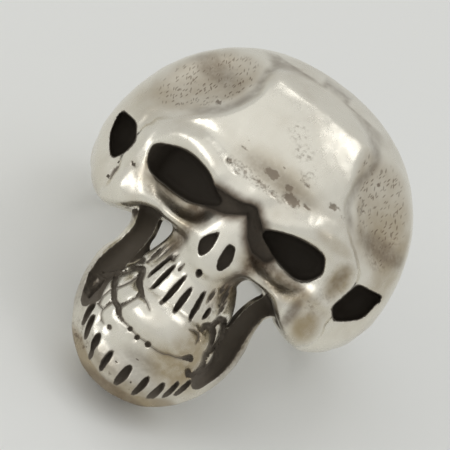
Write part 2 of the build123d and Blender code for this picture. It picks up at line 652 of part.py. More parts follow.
for corners in ARCHES:
    outline = make_face(Polyline(*[(x * HALF_WIDTH, z * HALF_HEIGHT) for x, z in corners], close=True))
    outline = fillet(outline.vertices(), ARCH_CORNER)
    cutters.append(extrude(arch_floor * outline, HEAD_DEPTH))
bored = blank - cutters

# It rests on its chin and the band's lower edge, face up
side = mesh[:, 1:]
in_front = side[side[:, 0] < -BORE]
behind = side[side[:, 0] > 0]
tilt = 0.0
for _ in range(30):
    low_front = in_front[np.argmin(in_front @ [np.sin(tilt), np.cos(tilt)])]
    low_back = behind[np.argmin(behind @ [np.sin(tilt), np.cos(tilt)])]
    tilt = np.arctan2(low_front[1] - low_back[1], low_back[0] - low_front[0])
resting = bored.rotate(Axis.X, np.degrees(tilt))
box = resting.bounding_box()
resting = Pos(-box.center().X, -box.center().Y, -box.min.Z) * resting

os.makedirs("parts", exist_ok=True)
export_step(resting, "parts/skull_ring.step", write_pcurves=False)
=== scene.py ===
import json
from functools import reduce

import bpy
import numpy as np
from mathutils import Matrix, Vector


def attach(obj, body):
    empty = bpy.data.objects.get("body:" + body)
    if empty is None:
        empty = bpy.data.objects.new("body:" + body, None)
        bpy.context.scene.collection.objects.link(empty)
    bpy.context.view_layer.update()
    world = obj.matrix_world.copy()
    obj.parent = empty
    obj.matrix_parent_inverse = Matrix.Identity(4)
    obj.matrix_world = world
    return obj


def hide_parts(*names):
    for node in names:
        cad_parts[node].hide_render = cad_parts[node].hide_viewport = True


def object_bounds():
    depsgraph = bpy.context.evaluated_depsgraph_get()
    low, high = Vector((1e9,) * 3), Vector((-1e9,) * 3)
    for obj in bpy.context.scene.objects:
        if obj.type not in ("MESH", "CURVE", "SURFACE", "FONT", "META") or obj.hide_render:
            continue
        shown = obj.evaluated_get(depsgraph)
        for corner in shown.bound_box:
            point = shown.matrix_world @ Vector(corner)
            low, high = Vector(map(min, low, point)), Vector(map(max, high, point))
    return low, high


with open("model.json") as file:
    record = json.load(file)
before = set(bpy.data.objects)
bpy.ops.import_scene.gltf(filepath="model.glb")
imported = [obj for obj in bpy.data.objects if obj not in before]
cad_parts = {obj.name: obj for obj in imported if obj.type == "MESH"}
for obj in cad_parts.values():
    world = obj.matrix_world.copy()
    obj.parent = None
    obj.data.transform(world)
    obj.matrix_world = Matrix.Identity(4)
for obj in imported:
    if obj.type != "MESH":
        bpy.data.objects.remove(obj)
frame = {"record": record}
cad_box = [list(corner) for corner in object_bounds()]

# Finger hole and band. The wax is carved upright with the finger along z and the face towards
# -y, in millimetres, and turned to its resting place once cast. The band is part of the one
# silver casting: widest at the shoulders, thin at the back, smooth where it meets the finger.
MM = 0.001
hole = frame["record"]["mounts"][0]
BORE = hole["dims"]["r_mm"]
FACE_BACK = -BORE - 3.0
FLARE = 0.5
BAND_HEIGHT_BACK = 5.6
BAND_HEIGHT_SHOULDER = 9.4
BAND_THICKNESS_BACK = 2.1
BAND_THICKNESS_SHOULDER = 3.5
BAND_SQUARE = 2.4
SHOULDER_ANGLE = 20.0
BAND_END_ANGLE = 49.0

# Fillets between the carved forms
BROAD = 1.2
WIDE = 0.9
SOFT = 0.6
TIGHT = 0.35
CRISP = 0.15


def union(a, b, k):
    """Both forms, with a fillet of about k where they join."""
    h = np.maximum(k - np.abs(a - b), 0) / k
    return np.minimum(a, b) - h * h * k / 4


def meet(a, b, k):
    """What lies in both forms."""
    return -union(-a, -b, k)


def carve(a, b, k):
    """The first form without the second."""
    return meet(a, -b, k)


def ease(t):
    t = np.clip(t, 0, 1)
    return t * t * (3 - 2 * t)


def band(p):
    x, y, z = p.T
    rho = np.hypot(x, y)
    turn = np.arctan2(y, np.abs(x))
    start = np.radians(SHOULDER_ANGLE)
    t = ease((turn + start) / (np.pi / 2 + start))
    high = (BAND_HEIGHT_SHOULDER + (BAND_HEIGHT_BACK - BAND_HEIGHT_SHOULDER) * t) / 2
    thick = BAND_THICKNESS_SHOULDER + (BAND_THICKNESS_BACK - BAND_THICKNESS_SHOULDER) * t
    across = np.abs((rho - BORE) / thick)**BAND_SQUARE
    upright = np.abs(z / high)**BAND_SQUARE
    size = (across + upright)**(1 / BAND_SQUARE)
    end = (-turn - np.radians(BAND_END_ANGLE)) * rho
    return meet((size - 1) * np.minimum(high, thick), end, WIDE)


# Head. A rounded shell carved from one block, its forehead left as a raised plate and each
# temple cut back in a dish. In the tables x is a share of half the width, z of half the height.
HEAD_WIDTH = 26.8
HEAD_HEIGHT = 26.8
HEAD_DEPTH = 18.0
HEAD_STAND = 8.4
HEAD_SQUARE = 2.15
HEAD_WALL = 2.0
HEAD_RISE = 0.015
SKIN_RIM = 0.02
FRONT_BLEND = HEAD_DEPTH / 6
PLATE_PROUD = 0.7
PLATE_EDGE = 0.7
PLATE_OUT = 0.7
PLATE_FOOT = 0.15
PLATE_FADE = 0.14
TEMPLE_DEPTH = 1.4
TEMPLE_LENGTH = 22.0
TEMPLE_WIDTH = 14.0
TEMPLE_LEAN = 40.0
HALF_WIDTH = HEAD_WIDTH / 2
HALF_HEIGHT = HEAD_HEIGHT / 2
HEAD_SEMI = np.array([HEAD_WIDTH, HEAD_DEPTH, HEAD_HEIGHT]) / 2
HEAD_CENTRE = np.array([0.0, HEAD_DEPTH / 2 - HEAD_STAND - BORE, HEAD_RISE * HALF_HEIGHT])
# z, half width of the plate to the left, to the right
PLATE = np.array([
    (0.18, 0.74, 0.72), (0.30, 0.62, 0.57), (0.37, 0.54, 0.49), (0.45, 0.455, 0.42),
    (0.52, 0.405, 0.405), (0.60, 0.37, 0.39), (0.67, 0.35, 0.40), (0.75, 0.36, 0.40),
    (0.82, 0.355, 0.335), (0.87, 0.31, 0.25), (0.90, 0.22, 0.16), (0.93, 0.04, 0.04),
])
TEMPLES = [(-0.69, 0.575), (0.69, 0.55)]


def bend(u, knots, values):
    """Smooth curve through the values at the knots."""
    slope = np.gradient(values, knots)
    u = np.clip(u, knots[0], knots[-1])
    i = np.clip(np.searchsorted(knots, u) - 1, 0, len(knots) - 2)
    h = knots[i + 1] - knots[i]
    t = (u - knots[i]) / h
    start = (2 * t**3 - 3 * t**2 + 1) * values[i] + (t**3 - 2 * t**2 + t) * h * slope[i]
    return start + (3 * t**2 - 2 * t**3) * values[i + 1] + (t**3 - t**2) * h * slope[i + 1]


def by_side(x, z, table):
    return np.where(x < 0, bend(z, table[:, 0], table[:, 1]), bend(z, table[:, 0], table[:, 2]))


def rounded(p, centre, semi, square=2.0):
    """Ellipsoid, or a squarer one."""
    q = np.abs(p - centre) / semi
    size = np.maximum((q**square).sum(1), 1e-9)**(1 / square)
    slope = np.linalg.norm(q**(square - 1) / semi, axis=1) * size**(1 - square)
    return (size - 1) / np.maximum(slope, 1e-6)


def skin(x, z):
    """y of the bare head's front."""
    across = np.abs(x / HEAD_SEMI[0])**HEAD_SQUARE
    upright = np.abs((z - HEAD_CENTRE[2]) / HEAD_SEMI[2])**HEAD_SQUARE
    left_over = np.maximum(1 - across - upright, SKIN_RIM)
    return HEAD_CENTRE[1] - HEAD_SEMI[1] * left_over**(1 / HEAD_SQUARE)


def temple(p, cx, cz):
    """The rounded form that dishes one temple."""
    lean = np.radians(TEMPLE_LEAN)
    at = np.array([cx * HALF_WIDTH, skin(cx * HALF_WIDTH, cz * HALF_HEIGHT), cz * HALF_HEIGHT])
    out = (at - HEAD_CENTRE) / HEAD_SEMI**2
    out /= np.linalg.norm(out)
    along = np.array([np.sign(cx) * np.sin(lean), 0.0, -np.cos(lean)])
    along -= out * (along @ out)
    along /= np.linalg.norm(along)
    q = p - (at + out * (TEMPLE_WIDTH / 2 - TEMPLE_DEPTH))
    local = np.stack([q @ along, q @ np.cross(out, along), q @ out], 1)
    return rounded(local, 0.0, np.array([TEMPLE_LENGTH, TEMPLE_WIDTH, TEMPLE_WIDTH]) / 2)


def inset(x, z):
    """How far inside the plate's outline a point of the front is."""
    u, v = x / HALF_WIDTH, z / HALF_HEIGHT
    step = 0.01
    grown = by_side(u, v + step, PLATE) - by_side(u, v - step, PLATE)
    lean = grown / (2 * step) * HALF_WIDTH / HALF_HEIGHT
    across = (by_side(u, v, PLATE) - np.abs(u)) * HALF_WIDTH / np.hypot(1, lean)
    return np.minimum(across, (PLATE[-1, 0] - v) * HALF_HEIGHT)


def head(p):
    x, y, z = p.T
    d = rounded(p, HEAD_CENTRE, HEAD_SEMI, HEAD_SQUARE)
    facing = (HEAD_CENTRE[1] - y) / FRONT_BLEND
    within = inset(x, z)
    step = ease(within / PLATE_EDGE + PLATE_OUT)
    foot = ease(1 - np.abs(within + PLATE_EDGE) / PLATE_EDGE)
    faded = ease((PLATE[-1, 0] - z / HALF_HEIGHT) / PLATE_FADE)
    d = d - (PLATE_PROUD * step - PLATE_FOOT * foot) * ease(facing) * faded
    for cx, cz in TEMPLES:
        d = carve(d, temple(p, cx, cz), SOFT)
    return d


# Brow ridges, the rims outside the eyes, cheekbones, and the face set back between them: bars
# and beads of wax laid on the head and blended in, all of it the same casting.
BROW_THICKNESS = 2.2
BROW_PROUD = 1.3
EYE_RIM_THICKNESS = 1.6
EYE_RIM_PROUD = 0.45
CHEEK_SIZE = 3.2
CHEEK_SUNK = 0.20
MIDFACE_DEPTH = 1.2
MIDFACE_ROUND = 7.4
# x, z of the head's lower edge
LOWER_EDGE = np.array([
    (-1.05, 0.04), (-0.97, -0.16), (-0.90, -0.28), (-0.82, -0.36), (-0.75, -0.39), (-0.67, -0.38),
    (-0.60, -0.335), (-0.52, -0.275), (-0.45, -0.25), (-0.34, -0.255), (0.00, -0.27),
    (0.26, -0.245), (0.36, -0.245), (0.42, -0.262), (0.485, -0.31), (0.54, -0.345), (0.60, -0.38),
    (0.67, -0.40), (0.75, -0.40), (0.82, -0.36), (0.90, -0.28), (0.97, -0.16), (1.05, 0.04),
])
# x, z, share of BROW_THICKNESS, share of BROW_PROUD
BROWS = [
    [(-0.71, 0.09, 0.73, 0.4), (-0.65, 0.16, 0.82, 0.6), (-0.54, 0.205, 0.95, 0.85),
     (-0.39, 0.20, 1.0, 1.0), (-0.25, 0.15, 1.0, 1.0), (-0.15, 0.13, 1.0, 0.8), (0.0, 0.17, 1.09, 0.6)],
    [(0.69, 0.11, 0.73, 0.4), (0.63, 0.17, 0.82, 0.6), (0.515, 0.213, 0.95, 0.9),
     (0.37, 0.20, 1.0, 1.0), (0.25, 0.15, 1.0, 1.0), (0.15, 0.13, 1.0, 0.8), (0.0, 0.17, 1.09, 0.6)],
]
# x, z, share of EYE_RIM_THICKNESS, share of EYE_RIM_PROUD
EYE_RIMS = [
    [(-0.71, 0.09, 1.0, 1.0), (-0.735, -0.04, 0.94, 1.0), (-0.69, -0.19, 1.25, 1.33)],
    [(0.69, 0.11, 1.0, 1.0), (0.71, -0.03, 0.94, 1.0), (0.70, -0.21, 1.25, 1.33)],
]
CHEEKS = [(-0.65, -0.245), (0.67, -0.27)]
# |x|, z, half width, half height
MIDFACE = (0.4, -0.06, 0.29, 0.187)


def tube(p, rows, between=3):
    """Round bar along a smooth path through rows of x, y, z, radius."""
    rows = np.array(rows, float)
    if len(rows) > 2:
        run = np.concatenate([[0], np.cumsum(np.linalg.norm(np.diff(rows[:, :3], axis=0), axis=1))])
        at = np.interp(np.arange((len(rows) - 1) * between + 1) / between, np.arange(len(rows)), run)
        rows = np.stack([bend(at, run, rows[:, c]) for c in range(4)], 1)
    low = (rows[:, :3] - rows[:, 3:]).min(0)
    high = (rows[:, :3] + rows[:, 3:]).max(0)
    d = np.linalg.norm(np.maximum(np.maximum(low - p, p - high), 0), axis=1)
    near = np.flatnonzero(d < 2 * WIDE)
    q = p[near]
    best = np.full(len(q), np.inf)
    for a, b in zip(rows[:-1], rows[1:]):
        along = b[:3] - a[:3]
        t = np.clip((q - a[:3]) @ along / (along @ along), 0, 1)
        off = np.linalg.norm(q - a[:3] - t[:, None] * along, axis=1)
        best = np.minimum(best, off - a[3] - (b[3] - a[3]) * t)
    d[near] = best
    return d


def on_skin(rows, thickness, proud):
    """Bars laid on the head, as rows for tube()."""
    laid = []
    for x, z, share, stand in rows:
        x, z, radius = x * HALF_WIDTH, z * HALF_HEIGHT, share * thickness / 2
        laid.append((x, skin(x, z) + radius - stand * proud, z, radius))
    return laid


def face(p):
    x, y, z = p.T
    d = head(p)
    semi = np.array([MIDFACE[2] * HALF_WIDTH, MIDFACE_ROUND / 2, MIDFACE[3] * HALF_HEIGHT])
    for side in (-1, 1):
        cx, cz = side * MIDFACE[0] * HALF_WIDTH, MIDFACE[1] * HALF_HEIGHT
        centre = (cx, skin(cx, cz) - semi[1] + MIDFACE_DEPTH, cz)
        d = carve(d, rounded(p, centre, semi), WIDE)
    edge = bend(x / HALF_WIDTH, LOWER_EDGE[:, 0], LOWER_EDGE[:, 1]) * HALF_HEIGHT
    d = meet(d, edge - z, BROAD)
    for rows in BROWS:
        d = union(d, tube(p, on_skin(rows, BROW_THICKNESS, BROW_PROUD)), WIDE)
    for rows in EYE_RIMS:
        d = union(d, tube(p, on_skin(rows, EYE_RIM_THICKNESS, EYE_RIM_PROUD)), SOFT)
    for cx, cz in CHEEKS:
        cx, cz = cx * HALF_WIDTH, cz * HALF_HEIGHT
        centre = (cx, skin(cx, cz) + CHEEK_SUNK * CHEEK_SIZE, cz)
        d = union(d, rounded(p, centre, CHEEK_SIZE / 2), TIGHT)
    return d


# Nose, and the groove over it from eye to eye. The nose is an egg with its front filed flat
# and two nostrils drilled into it, built on the column that holds the upper teeth.
NOSE_WIDTH = 5.2
NOSE_HEIGHT = 5.9
NOSE_PROUD = 9.45
NOSE_TOP = 0.05
UPPER_JAW_WIDTH = 8.1
JAW_DROP = 17.15
BRIDGE_REACH = (5.5, 3.5)
# share of NOSE_HEIGHT below its top, inset as a share of NOSE_WIDTH, share of the width
NOSE = [
    (0.12, 0.19, 0.28),
    (0.34, 0.33, 0.72),
    (0.56, 0.43, 0.96),
    (0.74, 0.36, 0.72),
]
# x, z, half width, floor: shares of half the head's width, height and width, and of HEAD_STAND
BRIDGE = np.array([
    (-0.20, 0.015, 0.058, -0.70),
    (-0.115, 0.030, 0.050, -0.82),
    (-0.068, 0.047, 0.038, -0.86),
    (-0.03, 0.065, 0.029, -0.87),
    (0.0, 0.080, 0.026, -0.87),
    (0.023, 0.083, 0.027, -0.87),
    (0.048, 0.062, 0.029, -0.86),
    (0.082, 0.030, 0.038, -0.83),
    (0.127, -0.018, 0.047, -0.78),
    (0.18, -0.050, 0.050, -0.74),
    (0.24, -0.058, 0.045, -0.73),
])
# x as a share of UPPER_JAW_WIDTH, y of HEAD_STAND, z of JAW_DROP, share of UPPER_JAW_WIDTH
UPPER_JAW = [
    (-0.02, -0.583, -0.14, 0.73),
    (-0.047, -0.565, -0.235, 0.83),
    (-0.058, -0.56, -0.27, 0.835),
    (-0.058, -0.55, -0.315, 0.87),
    (-0.049, -0.53, -0.35, 0.925),
    (-0.031, -0.50, -0.40, 1.02),
    (-0.019, -0.452, -0.49, 1.16),
]


def along(x, z, rows):
    """Distance from each point to a path, the rows' other values there, and place across it."""
    rows = np.asarray(rows)
    best = np.full(len(x), np.inf)
    side = np.zeros(len(x))
    found = np.zeros((len(x), rows.shape[1] - 2))
    for a, b in zip(rows[:-1], rows[1:]):
        run = b[:2] - a[:2]
        t = np.clip(((x - a[0]) * run[0] + (z - a[1]) * run[1]) / (run @ run), 0, 1)
        off = np.hypot(x - a[0] - t * run[0], z - a[1] - t * run[1])
        closer = off < best
        best[closer] = off[closer]
        side[closer] = (((x - a[0]) * run[1] - (z - a[1]) * run[0]) / np.hypot(*run))[closer]
        found[closer] = (a[2:] + (b[2:] - a[2:]) * t[:, None])[closer]
    return best, found, side


def bridge(p):
    """The groove over the nose, as a form to take away."""
    d = np.full(len(p), HALF_WIDTH)
    near = np.flatnonzero((np.abs(p[:, [0, 2]]) < BRIDGE_REACH).all(1) & (p[:, 1] < FACE_BACK))
    x, y, z = p[near].T
    off, found, _ = along(x, z, BRIDGE * (HALF_WIDTH, HALF_HEIGHT, HALF_WIDTH, HEAD_STAND))
    d[near] = meet(off - found[:, 0], y - (found[:, 1] - BORE), SOFT)
    return d


def face_with_nose(p):
    d = face(p)
    column = [(x * UPPER_JAW_WIDTH, y * HEAD_STAND - BORE, z * JAW_DROP, share * UPPER_JAW_WIDTH / 2)
              for x, y, z, share in UPPER_JAW]
    d = union(d, tube(p, column), WIDE)
    tip = -NOSE_PROUD - BORE
    top = NOSE_TOP * HALF_HEIGHT
    nose = [(0.0, tip + inset * NOSE_WIDTH, top - drop * NOSE_HEIGHT, share * NOSE_WIDTH / 2)
            for drop, inset, share in NOSE]
    d = union(d, meet(tube(p, nose), tip - p[:, 1], SOFT), WIDE)
    return carve(d, bridge(p), TIGHT)


# Lower jaw: a loop from the cheekbones down round the chin, each arm hollowed along its outer
# face, closed in front by the gums. It was carved by hand and hangs a little to one side.
JAW_WIDTH = 14.3
JAW_SHIFT = 0.45
JAW_SHIFT_SPAN = (-0.17, -0.52)
ARM_THICKNESS = 2.9
ARM_HOLLOW = 1.9
ARM_HOLLOW_ROWS = slice(1, 6)
ARM_HOLLOW_IN = 0.18
ARM_HOLLOW_FORWARD = 0.16
GUM_DEPTH = 8.8
GUM_ROUND = 10.6
BEVEL_STAND = 0.82
BEVEL_BACK = 3.5
HALF_JAW = JAW_WIDTH / 2
WIDEST_LEVEL = -0.525
JAW_LEVEL = WIDEST_LEVEL * JAW_DROP
GUM = (0.8, 0.286, -0.694)
WEB_SIDE = -1
# |x|, y, z, share of ARM_THICKNESS, between the arm and the upper jaw
WEB = [(0.66, -0.10, -0.40, 0.55), (0.66, -0.13, -0.45, 0.66), (0.66, -0.17, -0.52, 0.76)]
# |x|, y, z, share of ARM_THICKNESS
ARM = [
    (1.063, 0.17, -0.058, 1.10),
    (0.909, 0.0, -0.198, 0.97),
    (0.804, -0.083, -0.303, 0.93),
    (0.811, -0.119, -0.42, 1.0),
    (0.839, -0.226, -0.542, 1.07),
    (0.783, -0.417, -0.688, 1.14),
    (0.601, -0.607, -0.81, 1.21),
    (0.308, -0.726, -0.886, 1.28),
    (0.0, -0.762, -0.898, 1.24),
]
# z, half width to the left, to the right, above the jaw's widest level
ARM_OUTLINE = np.array([
    (-0.525, 1.07, 0.93), (-0.466, 1.05, 0.92), (-0.408, 0.99, 0.89), (-0.35, 0.98, 0.875),
    (-0.292, 1.0, 0.89), (-0.233, 1.12, 1.01), (-0.058, 1.37, 1.33),
])


def arm_rows(side):
    """Rows for tube() of one arm and of the hollow along it."""
    shift_from, shift_to = JAW_SHIFT_SPAN
    rows = []
    for x, y, z, share in ARM:
        across = side * x * HALF_JAW - JAW_SHIFT * ease((z - shift_from) / (shift_to - shift_from))
        rows.append((across, y * HEAD_STAND - BORE, z * JAW_DROP, share * ARM_THICKNESS / 2))
    hollow = []
    for x, y, z, radius in rows[ARM_HOLLOW_ROWS]:
        x -= side * ARM_HOLLOW_IN * ARM_HOLLOW
        y -= radius + ARM_HOLLOW_FORWARD * ARM_HOLLOW
        hollow.append((x, y, z, ARM_HOLLOW / 2))
    return rows, hollow


def chin_oval(x, z):
    """1 on the outline of the jaw below its widest level, less within."""
    return np.hypot((x + JAW_SHIFT) / HALF_JAW, (z - JAW_LEVEL) / (JAW_DROP + JAW_LEVEL))


def jaw(p):
    x, y, z = p.T
    left, right = (carve(tube(p, rows), tube(p, hollow), TIGHT)
                   for rows, hollow in map(arm_rows, (-1, 1)))
    web = [(WEB_SIDE * x * HALF_JAW, y * HEAD_STAND - BORE, z * JAW_DROP, share * ARM_THICKNESS / 2)
           for x, y, z, share in WEB]
    left = union(left, tube(p, web), SOFT)
    gum_semi = np.array([GUM[0] * HALF_JAW, GUM_ROUND / 2, GUM[1] * JAW_DROP])
    gum = rounded(p, (-JAW_SHIFT, gum_semi[1] - GUM_DEPTH - BORE, GUM[2] * JAW_DROP), gum_semi)
    outline = by_side(x, z / JAW_DROP, ARM_OUTLINE) * HALF_JAW
    limit = np.where(z < JAW_LEVEL, (chin_oval(x, z) - 1) * HALF_JAW, np.abs(x) - outline)
    return meet(union(union(left, right, WIDE), gum, WIDE), limit, SOFT)


# Teeth, clenched: one bulge of wax with the gaps between the teeth cut into it by graver. The
# middle has been rubbed smooth by wear, so the gaps show at the sides and along the bite.
TEETH_WIDTH = 10.5
TEETH_HEIGHT = 7.2
TEETH_PROUD = 9.65
TEETH_ROUND = 10.9
TEETH = (-0.028, -0.612)
CUT_DEPTH = 0.2
CUT_FULL_HALF = 0.1
CUT_SLOPE = 0.13
CUT_END = 0.12
DEEPEST_CUT = 1.5
PILLOW_DEPTH = 0.17
PILLOW_WIDTH = 0.7
VALLEY_REACH = 1.0
DENT_RIM = 1.3
DENT_REACH = 1.4
FACE_REACH = 10.5
# x, z, half width of each cut
CUTS = [
    [(-5.1, -8.75, 0.07), (-4.85, -8.35, 0.1), (-4.5, -8.05, 0.11), (-4.15, -7.85, 0.12),
     (-3.85, -7.65, 0.16), (-3.65, -8.0, 0.15), (-3.5, -8.5, 0.17), (-3.2, -8.85, 0.15),
     (-2.9, -9.05, 0.12), (-2.6, -9.35, 0.11), (-2.3, -9.4, 0.06), (-2.0, -9.5, 0.05),
     (-1.6, -9.75, 0.04), (-1.45, -9.85, 0.03)],
    [(-5.3, -8.6, 0.06), (-5.25, -9.3, 0.08), (-5.0, -9.8, 0.1), (-4.75, -10.15, 0.14),
     (-4.5, -10.5, 0.11), (-4.2, -10.9, 0.1), (-3.9, -11.05, 0.1), (-3.5, -11.15, 0.13),
     (-3.35, -11.4, 0.11), (-3.0, -11.7, 0.07), (-2.5, -11.85, 0.045), (-1.95, -11.87, 0.04),
     (-1.78, -11.93, 0.1), (-1.6, -12.0, 0.04), (-1.15, -12.05, 0.035), (-0.95, -12.13, 0.11),
     (-0.75, -12.08, 0.035), (-0.2, -12.05, 0.04), (0.05, -12.08, 0.14), (0.3, -12.1, 0.04),
     (1.0, -12.1, 0.035), (1.5, -11.98, 0.045), (1.85, -11.78, 0.04), (2.4, -11.62, 0.045),
     (2.85, -11.4, 0.06), (3.1, -11.15, 0.1), (3.3, -10.95, 0.14), (3.55, -11.1, 0.06)],
    [(-3.78, -8.3, 0.07), (-4.0, -8.9, 0.06), (-4.3, -9.5, 0.06), (-4.6, -10.0, 0.07)],
    [(-2.8, -9.2, 0.1), (-2.95, -9.8, 0.06), (-3.2, -10.4, 0.06), (-3.5, -11.05, 0.09)],
    [(-5.35, -8.9, 0.06), (-5.55, -9.5, 0.07), (-5.55, -10.3, 0.05), (-5.4, -11.0, 0.06),
     (-5.2, -11.5, 0.05)],
    [(-4.8, -10.15, 0.07), (-4.95, -10.6, 0.05), (-5.08, -11.2, 0.05), (-5.0, -11.85, 0.06),
     (-4.85, -12.0, 0.05), (-4.45, -12.02, 0.06)],
    [(-4.2, -11.0, 0.07), (-4.35, -11.6, 0.06), (-4.45, -12.1, 0.05), (-4.3, -12.5, 0.03),
     (-4.0, -12.8, 0.05), (-3.7, -12.9, 0.02)],
    [(-3.22, -12.8, 0.08), (-3.1, -12.88, 0.08)],
    [(-5.3, -8.4, 0.05), (-5.3, -7.95, 0.07), (-5.0, -7.6, 0.1), (-4.6, -7.35, 0.1), (-4.2, -7.15, 0.12)],
    [(2.0, -9.15, 0.03), (2.3, -9.0, 0.05), (2.75, -9.0, 0.06), (3.0, -9.35, 0.07), (3.05, -9.8, 0.03)],
    [(2.75, -8.75, 0.06), (2.72, -8.3, 0.12), (2.95, -8.1, 0.19), (3.3, -8.1, 0.19), (3.6, -8.35, 0.15),
     (3.85, -8.75, 0.12), (4.05, -9.25, 0.1), (4.2, -9.8, 0.12), (4.3, -10.2, 0.08)],
    [(3.35, -7.15, 0.2), (3.7, -7.1, 0.2), (4.0, -7.5, 0.12), (4.3, -8.1, 0.08), (4.45, -8.7, 0.08),
     (4.35, -9.2, 0.1), (4.2, -9.7, 0.1)],
    [(3.35, -7.2, 0.15), (3.25, -7.7, 0.12), (3.2, -8.0, 0.15)],
    [(4.6, -9.2, 0.06), (4.85, -9.7, 0.05), (5.0, -10.3, 0.05), (4.85, -11.0, 0.06), (4.6, -11.6, 0.06)],
    [(4.3, -9.5, 0.09), (4.15, -10.0, 0.1), (4.4, -10.5, 0.08), (4.6, -11.0, 0.08)],
    [(3.85, -11.95, 0.11), (4.0, -12.12, 0.1), (4.25, -12.0, 0.06), (4.45, -11.6, 0.06),
     (4.5, -11.1, 0.06), (4.35, -10.6, 0.06), (4.15, -10.2, 0.08), (4.05, -9.9, 0.08)],
    [(1.7, -5.5, 0.04), (1.75, -6.1, 0.09), (1.85, -6.7, 0.05)],
    [(2.55, -4.6, 0.03), (2.6, -5.3, 0.09), (2.75, -6.2, 0.06)],
    [(3.0, -5.6, 0.04), (3.0, -6.3, 0.08), (3.1, -6.9, 0.05)],
    [(2.1, -4.7, 0.03), (2.1, -5.2, 0.07), (2.2, -5.6, 0.03)],
    [(-3.1, -4.6, 0.03), (-3.2, -5.4, 0.07), (-3.4, -6.4, 0.04)],
    [(-3.55, -4.9, 0.03), (-3.65, -5.8, 0.09), (-3.9, -6.9, 0.06)],
    [(-1.5, -5.4, 0.04), (-1.5, -5.9, 0.07)],
    [(-2.3, -5.0, 0.04), (-2.4, -5.6, 0.08)],
]
# x, z, half width, depth of the shallow valleys round the brows, nose and plate
VALLEYS = [
    [(-9.75, 1.4, 0.5, 0.12), (-9.6, 2.1, 0.5, 0.25), (-9.2, 2.9, 0.5, 0.3), (-8.6, 3.4, 0.5, 0.3),
     (-8.0, 3.7, 0.5, 0.3), (-7.2, 3.9, 0.5, 0.25), (-6.3, 4.0, 0.5, 0.15), (-5.4, 3.9, 0.5, 0.05)],
    [(4.9, 3.2, 0.5, 0.05), (5.8, 3.4, 0.5, 0.15), (6.8, 3.5, 0.5, 0.2), (7.8, 3.2, 0.5, 0.22),
     (8.6, 2.6, 0.5, 0.22), (9.2, 1.6, 0.5, 0.25), (9.3, 0.4, 0.5, 0.25), (9.1, -0.7, 0.5, 0.12)],
    [(-3.4, 0.75, 0.4, 0.0), (-2.6, 1.9, 0.5, 0.08), (-1.0, 2.0, 0.5, 0.1), (0.6, 1.95, 0.5, 0.1),
     (2.0, 2.3, 0.5, 0.08), (3.2, 2.6, 0.5, 0.0)],
    [(8.0, -1.9, 0.4, 0.1), (8.7, -2.0, 0.4, 0.2), (9.5, -2.0, 0.4, 0.2), (10.3, -2.3, 0.4, 0.1)],
    [(7.7, -2.4, 0.4, 0.1), (7.75, -3.2, 0.4, 0.2), (7.8, -4.0, 0.4, 0.15)],
    [(-9.9, -1.6, 0.4, 0.1), (-10.1, -2.6, 0.4, 0.2), (-10.0, -3.6, 0.4, 0.2), (-9.6, -4.4, 0.4, 0.1)],
]
# x, z, half width, half height, depth of the dents and scars
DENTS = [
    (-3.5, 3.3, 0.28, 0.24, 0.14), (-2.5, 2.9, 0.34, 0.12, 0.07), (-2.4, 3.42, 0.5, 0.12, 0.07),
    (-0.7, 3.38, 0.75, 0.14, 0.09), (0.7, 3.22, 0.6, 0.12, 0.07), (2.3, 3.75, 0.8, 0.42, 0.14),
    (3.55, 4.05, 0.35, 0.16, 0.08), (1.6, 4.35, 0.5, 0.3, 0.07), (-3.15, 4.75, 0.4, 0.08, 0.07),
    (-3.55, 5.55, 0.3, 0.07, 0.06), (2.35, 5.4, 0.45, 0.08, 0.07), (6.3, 5.12, 0.35, 0.1, 0.08),
    (5.3, 5.35, 0.5, 0.22, 0.06), (-7.0, 6.45, 0.24, 0.24, 0.14), (-8.7, 8.55, 0.24, 0.22, 0.12),
    (-9.4, -1.45, 0.35, 0.1, 0.1), (-0.3, 4.5, 0.8, 0.35, 0.05), (0.25, 5.35, 0.12, 0.1, 0.06),
    (-7.05, 5.85, 0.14, 0.12, 0.08), (7.2, 6.4, 0.3, 0.14, 0.1), (7.1, 8.9, 0.12, 0.2, 0.08),
    (-6.2, -9.3, 0.3, 0.25, 0.15), (-6.1, -9.9, 0.4, 0.15, 0.12), (-6.15, -10.8, 0.5, 0.6, 0.25),
    (-6.9, -9.1, 0.2, 0.15, 0.12), (-6.8, -10.6, 0.2, 0.15, 0.1), (-6.3, -11.7, 0.35, 0.2, 0.15),
    (-3.85, -15.3, 0.16, 0.2, 0.12), (-4.7, -15.0, 0.3, 0.12, 0.08), (-1.1, -14.7, 0.1, 0.12, 0.08),
    (-0.95, -15.65, 0.1, 0.25, 0.1), (0.75, -15.35, 0.09, 0.2, 0.1), (1.0, -15.85, 0.1, 0.1, 0.08),
    (-2.3, -15.0, 0.3, 0.08, 0.06), (0.1, -13.6, 0.25, 0.06, 0.05), (5.0, -8.9, 0.12, 0.4, 0.08),
]


def boxed(x, z, rows, reach):
    """Points whose x, z lie within reach of the rows' box."""
    rows = np.asarray(rows)
    low, high = rows[:, :2].min(0) - reach, rows[:, :2].max(0) + reach
    return np.flatnonzero((x > low[0]) & (x < high[0]) & (z > low[1]) & (z < high[1]))


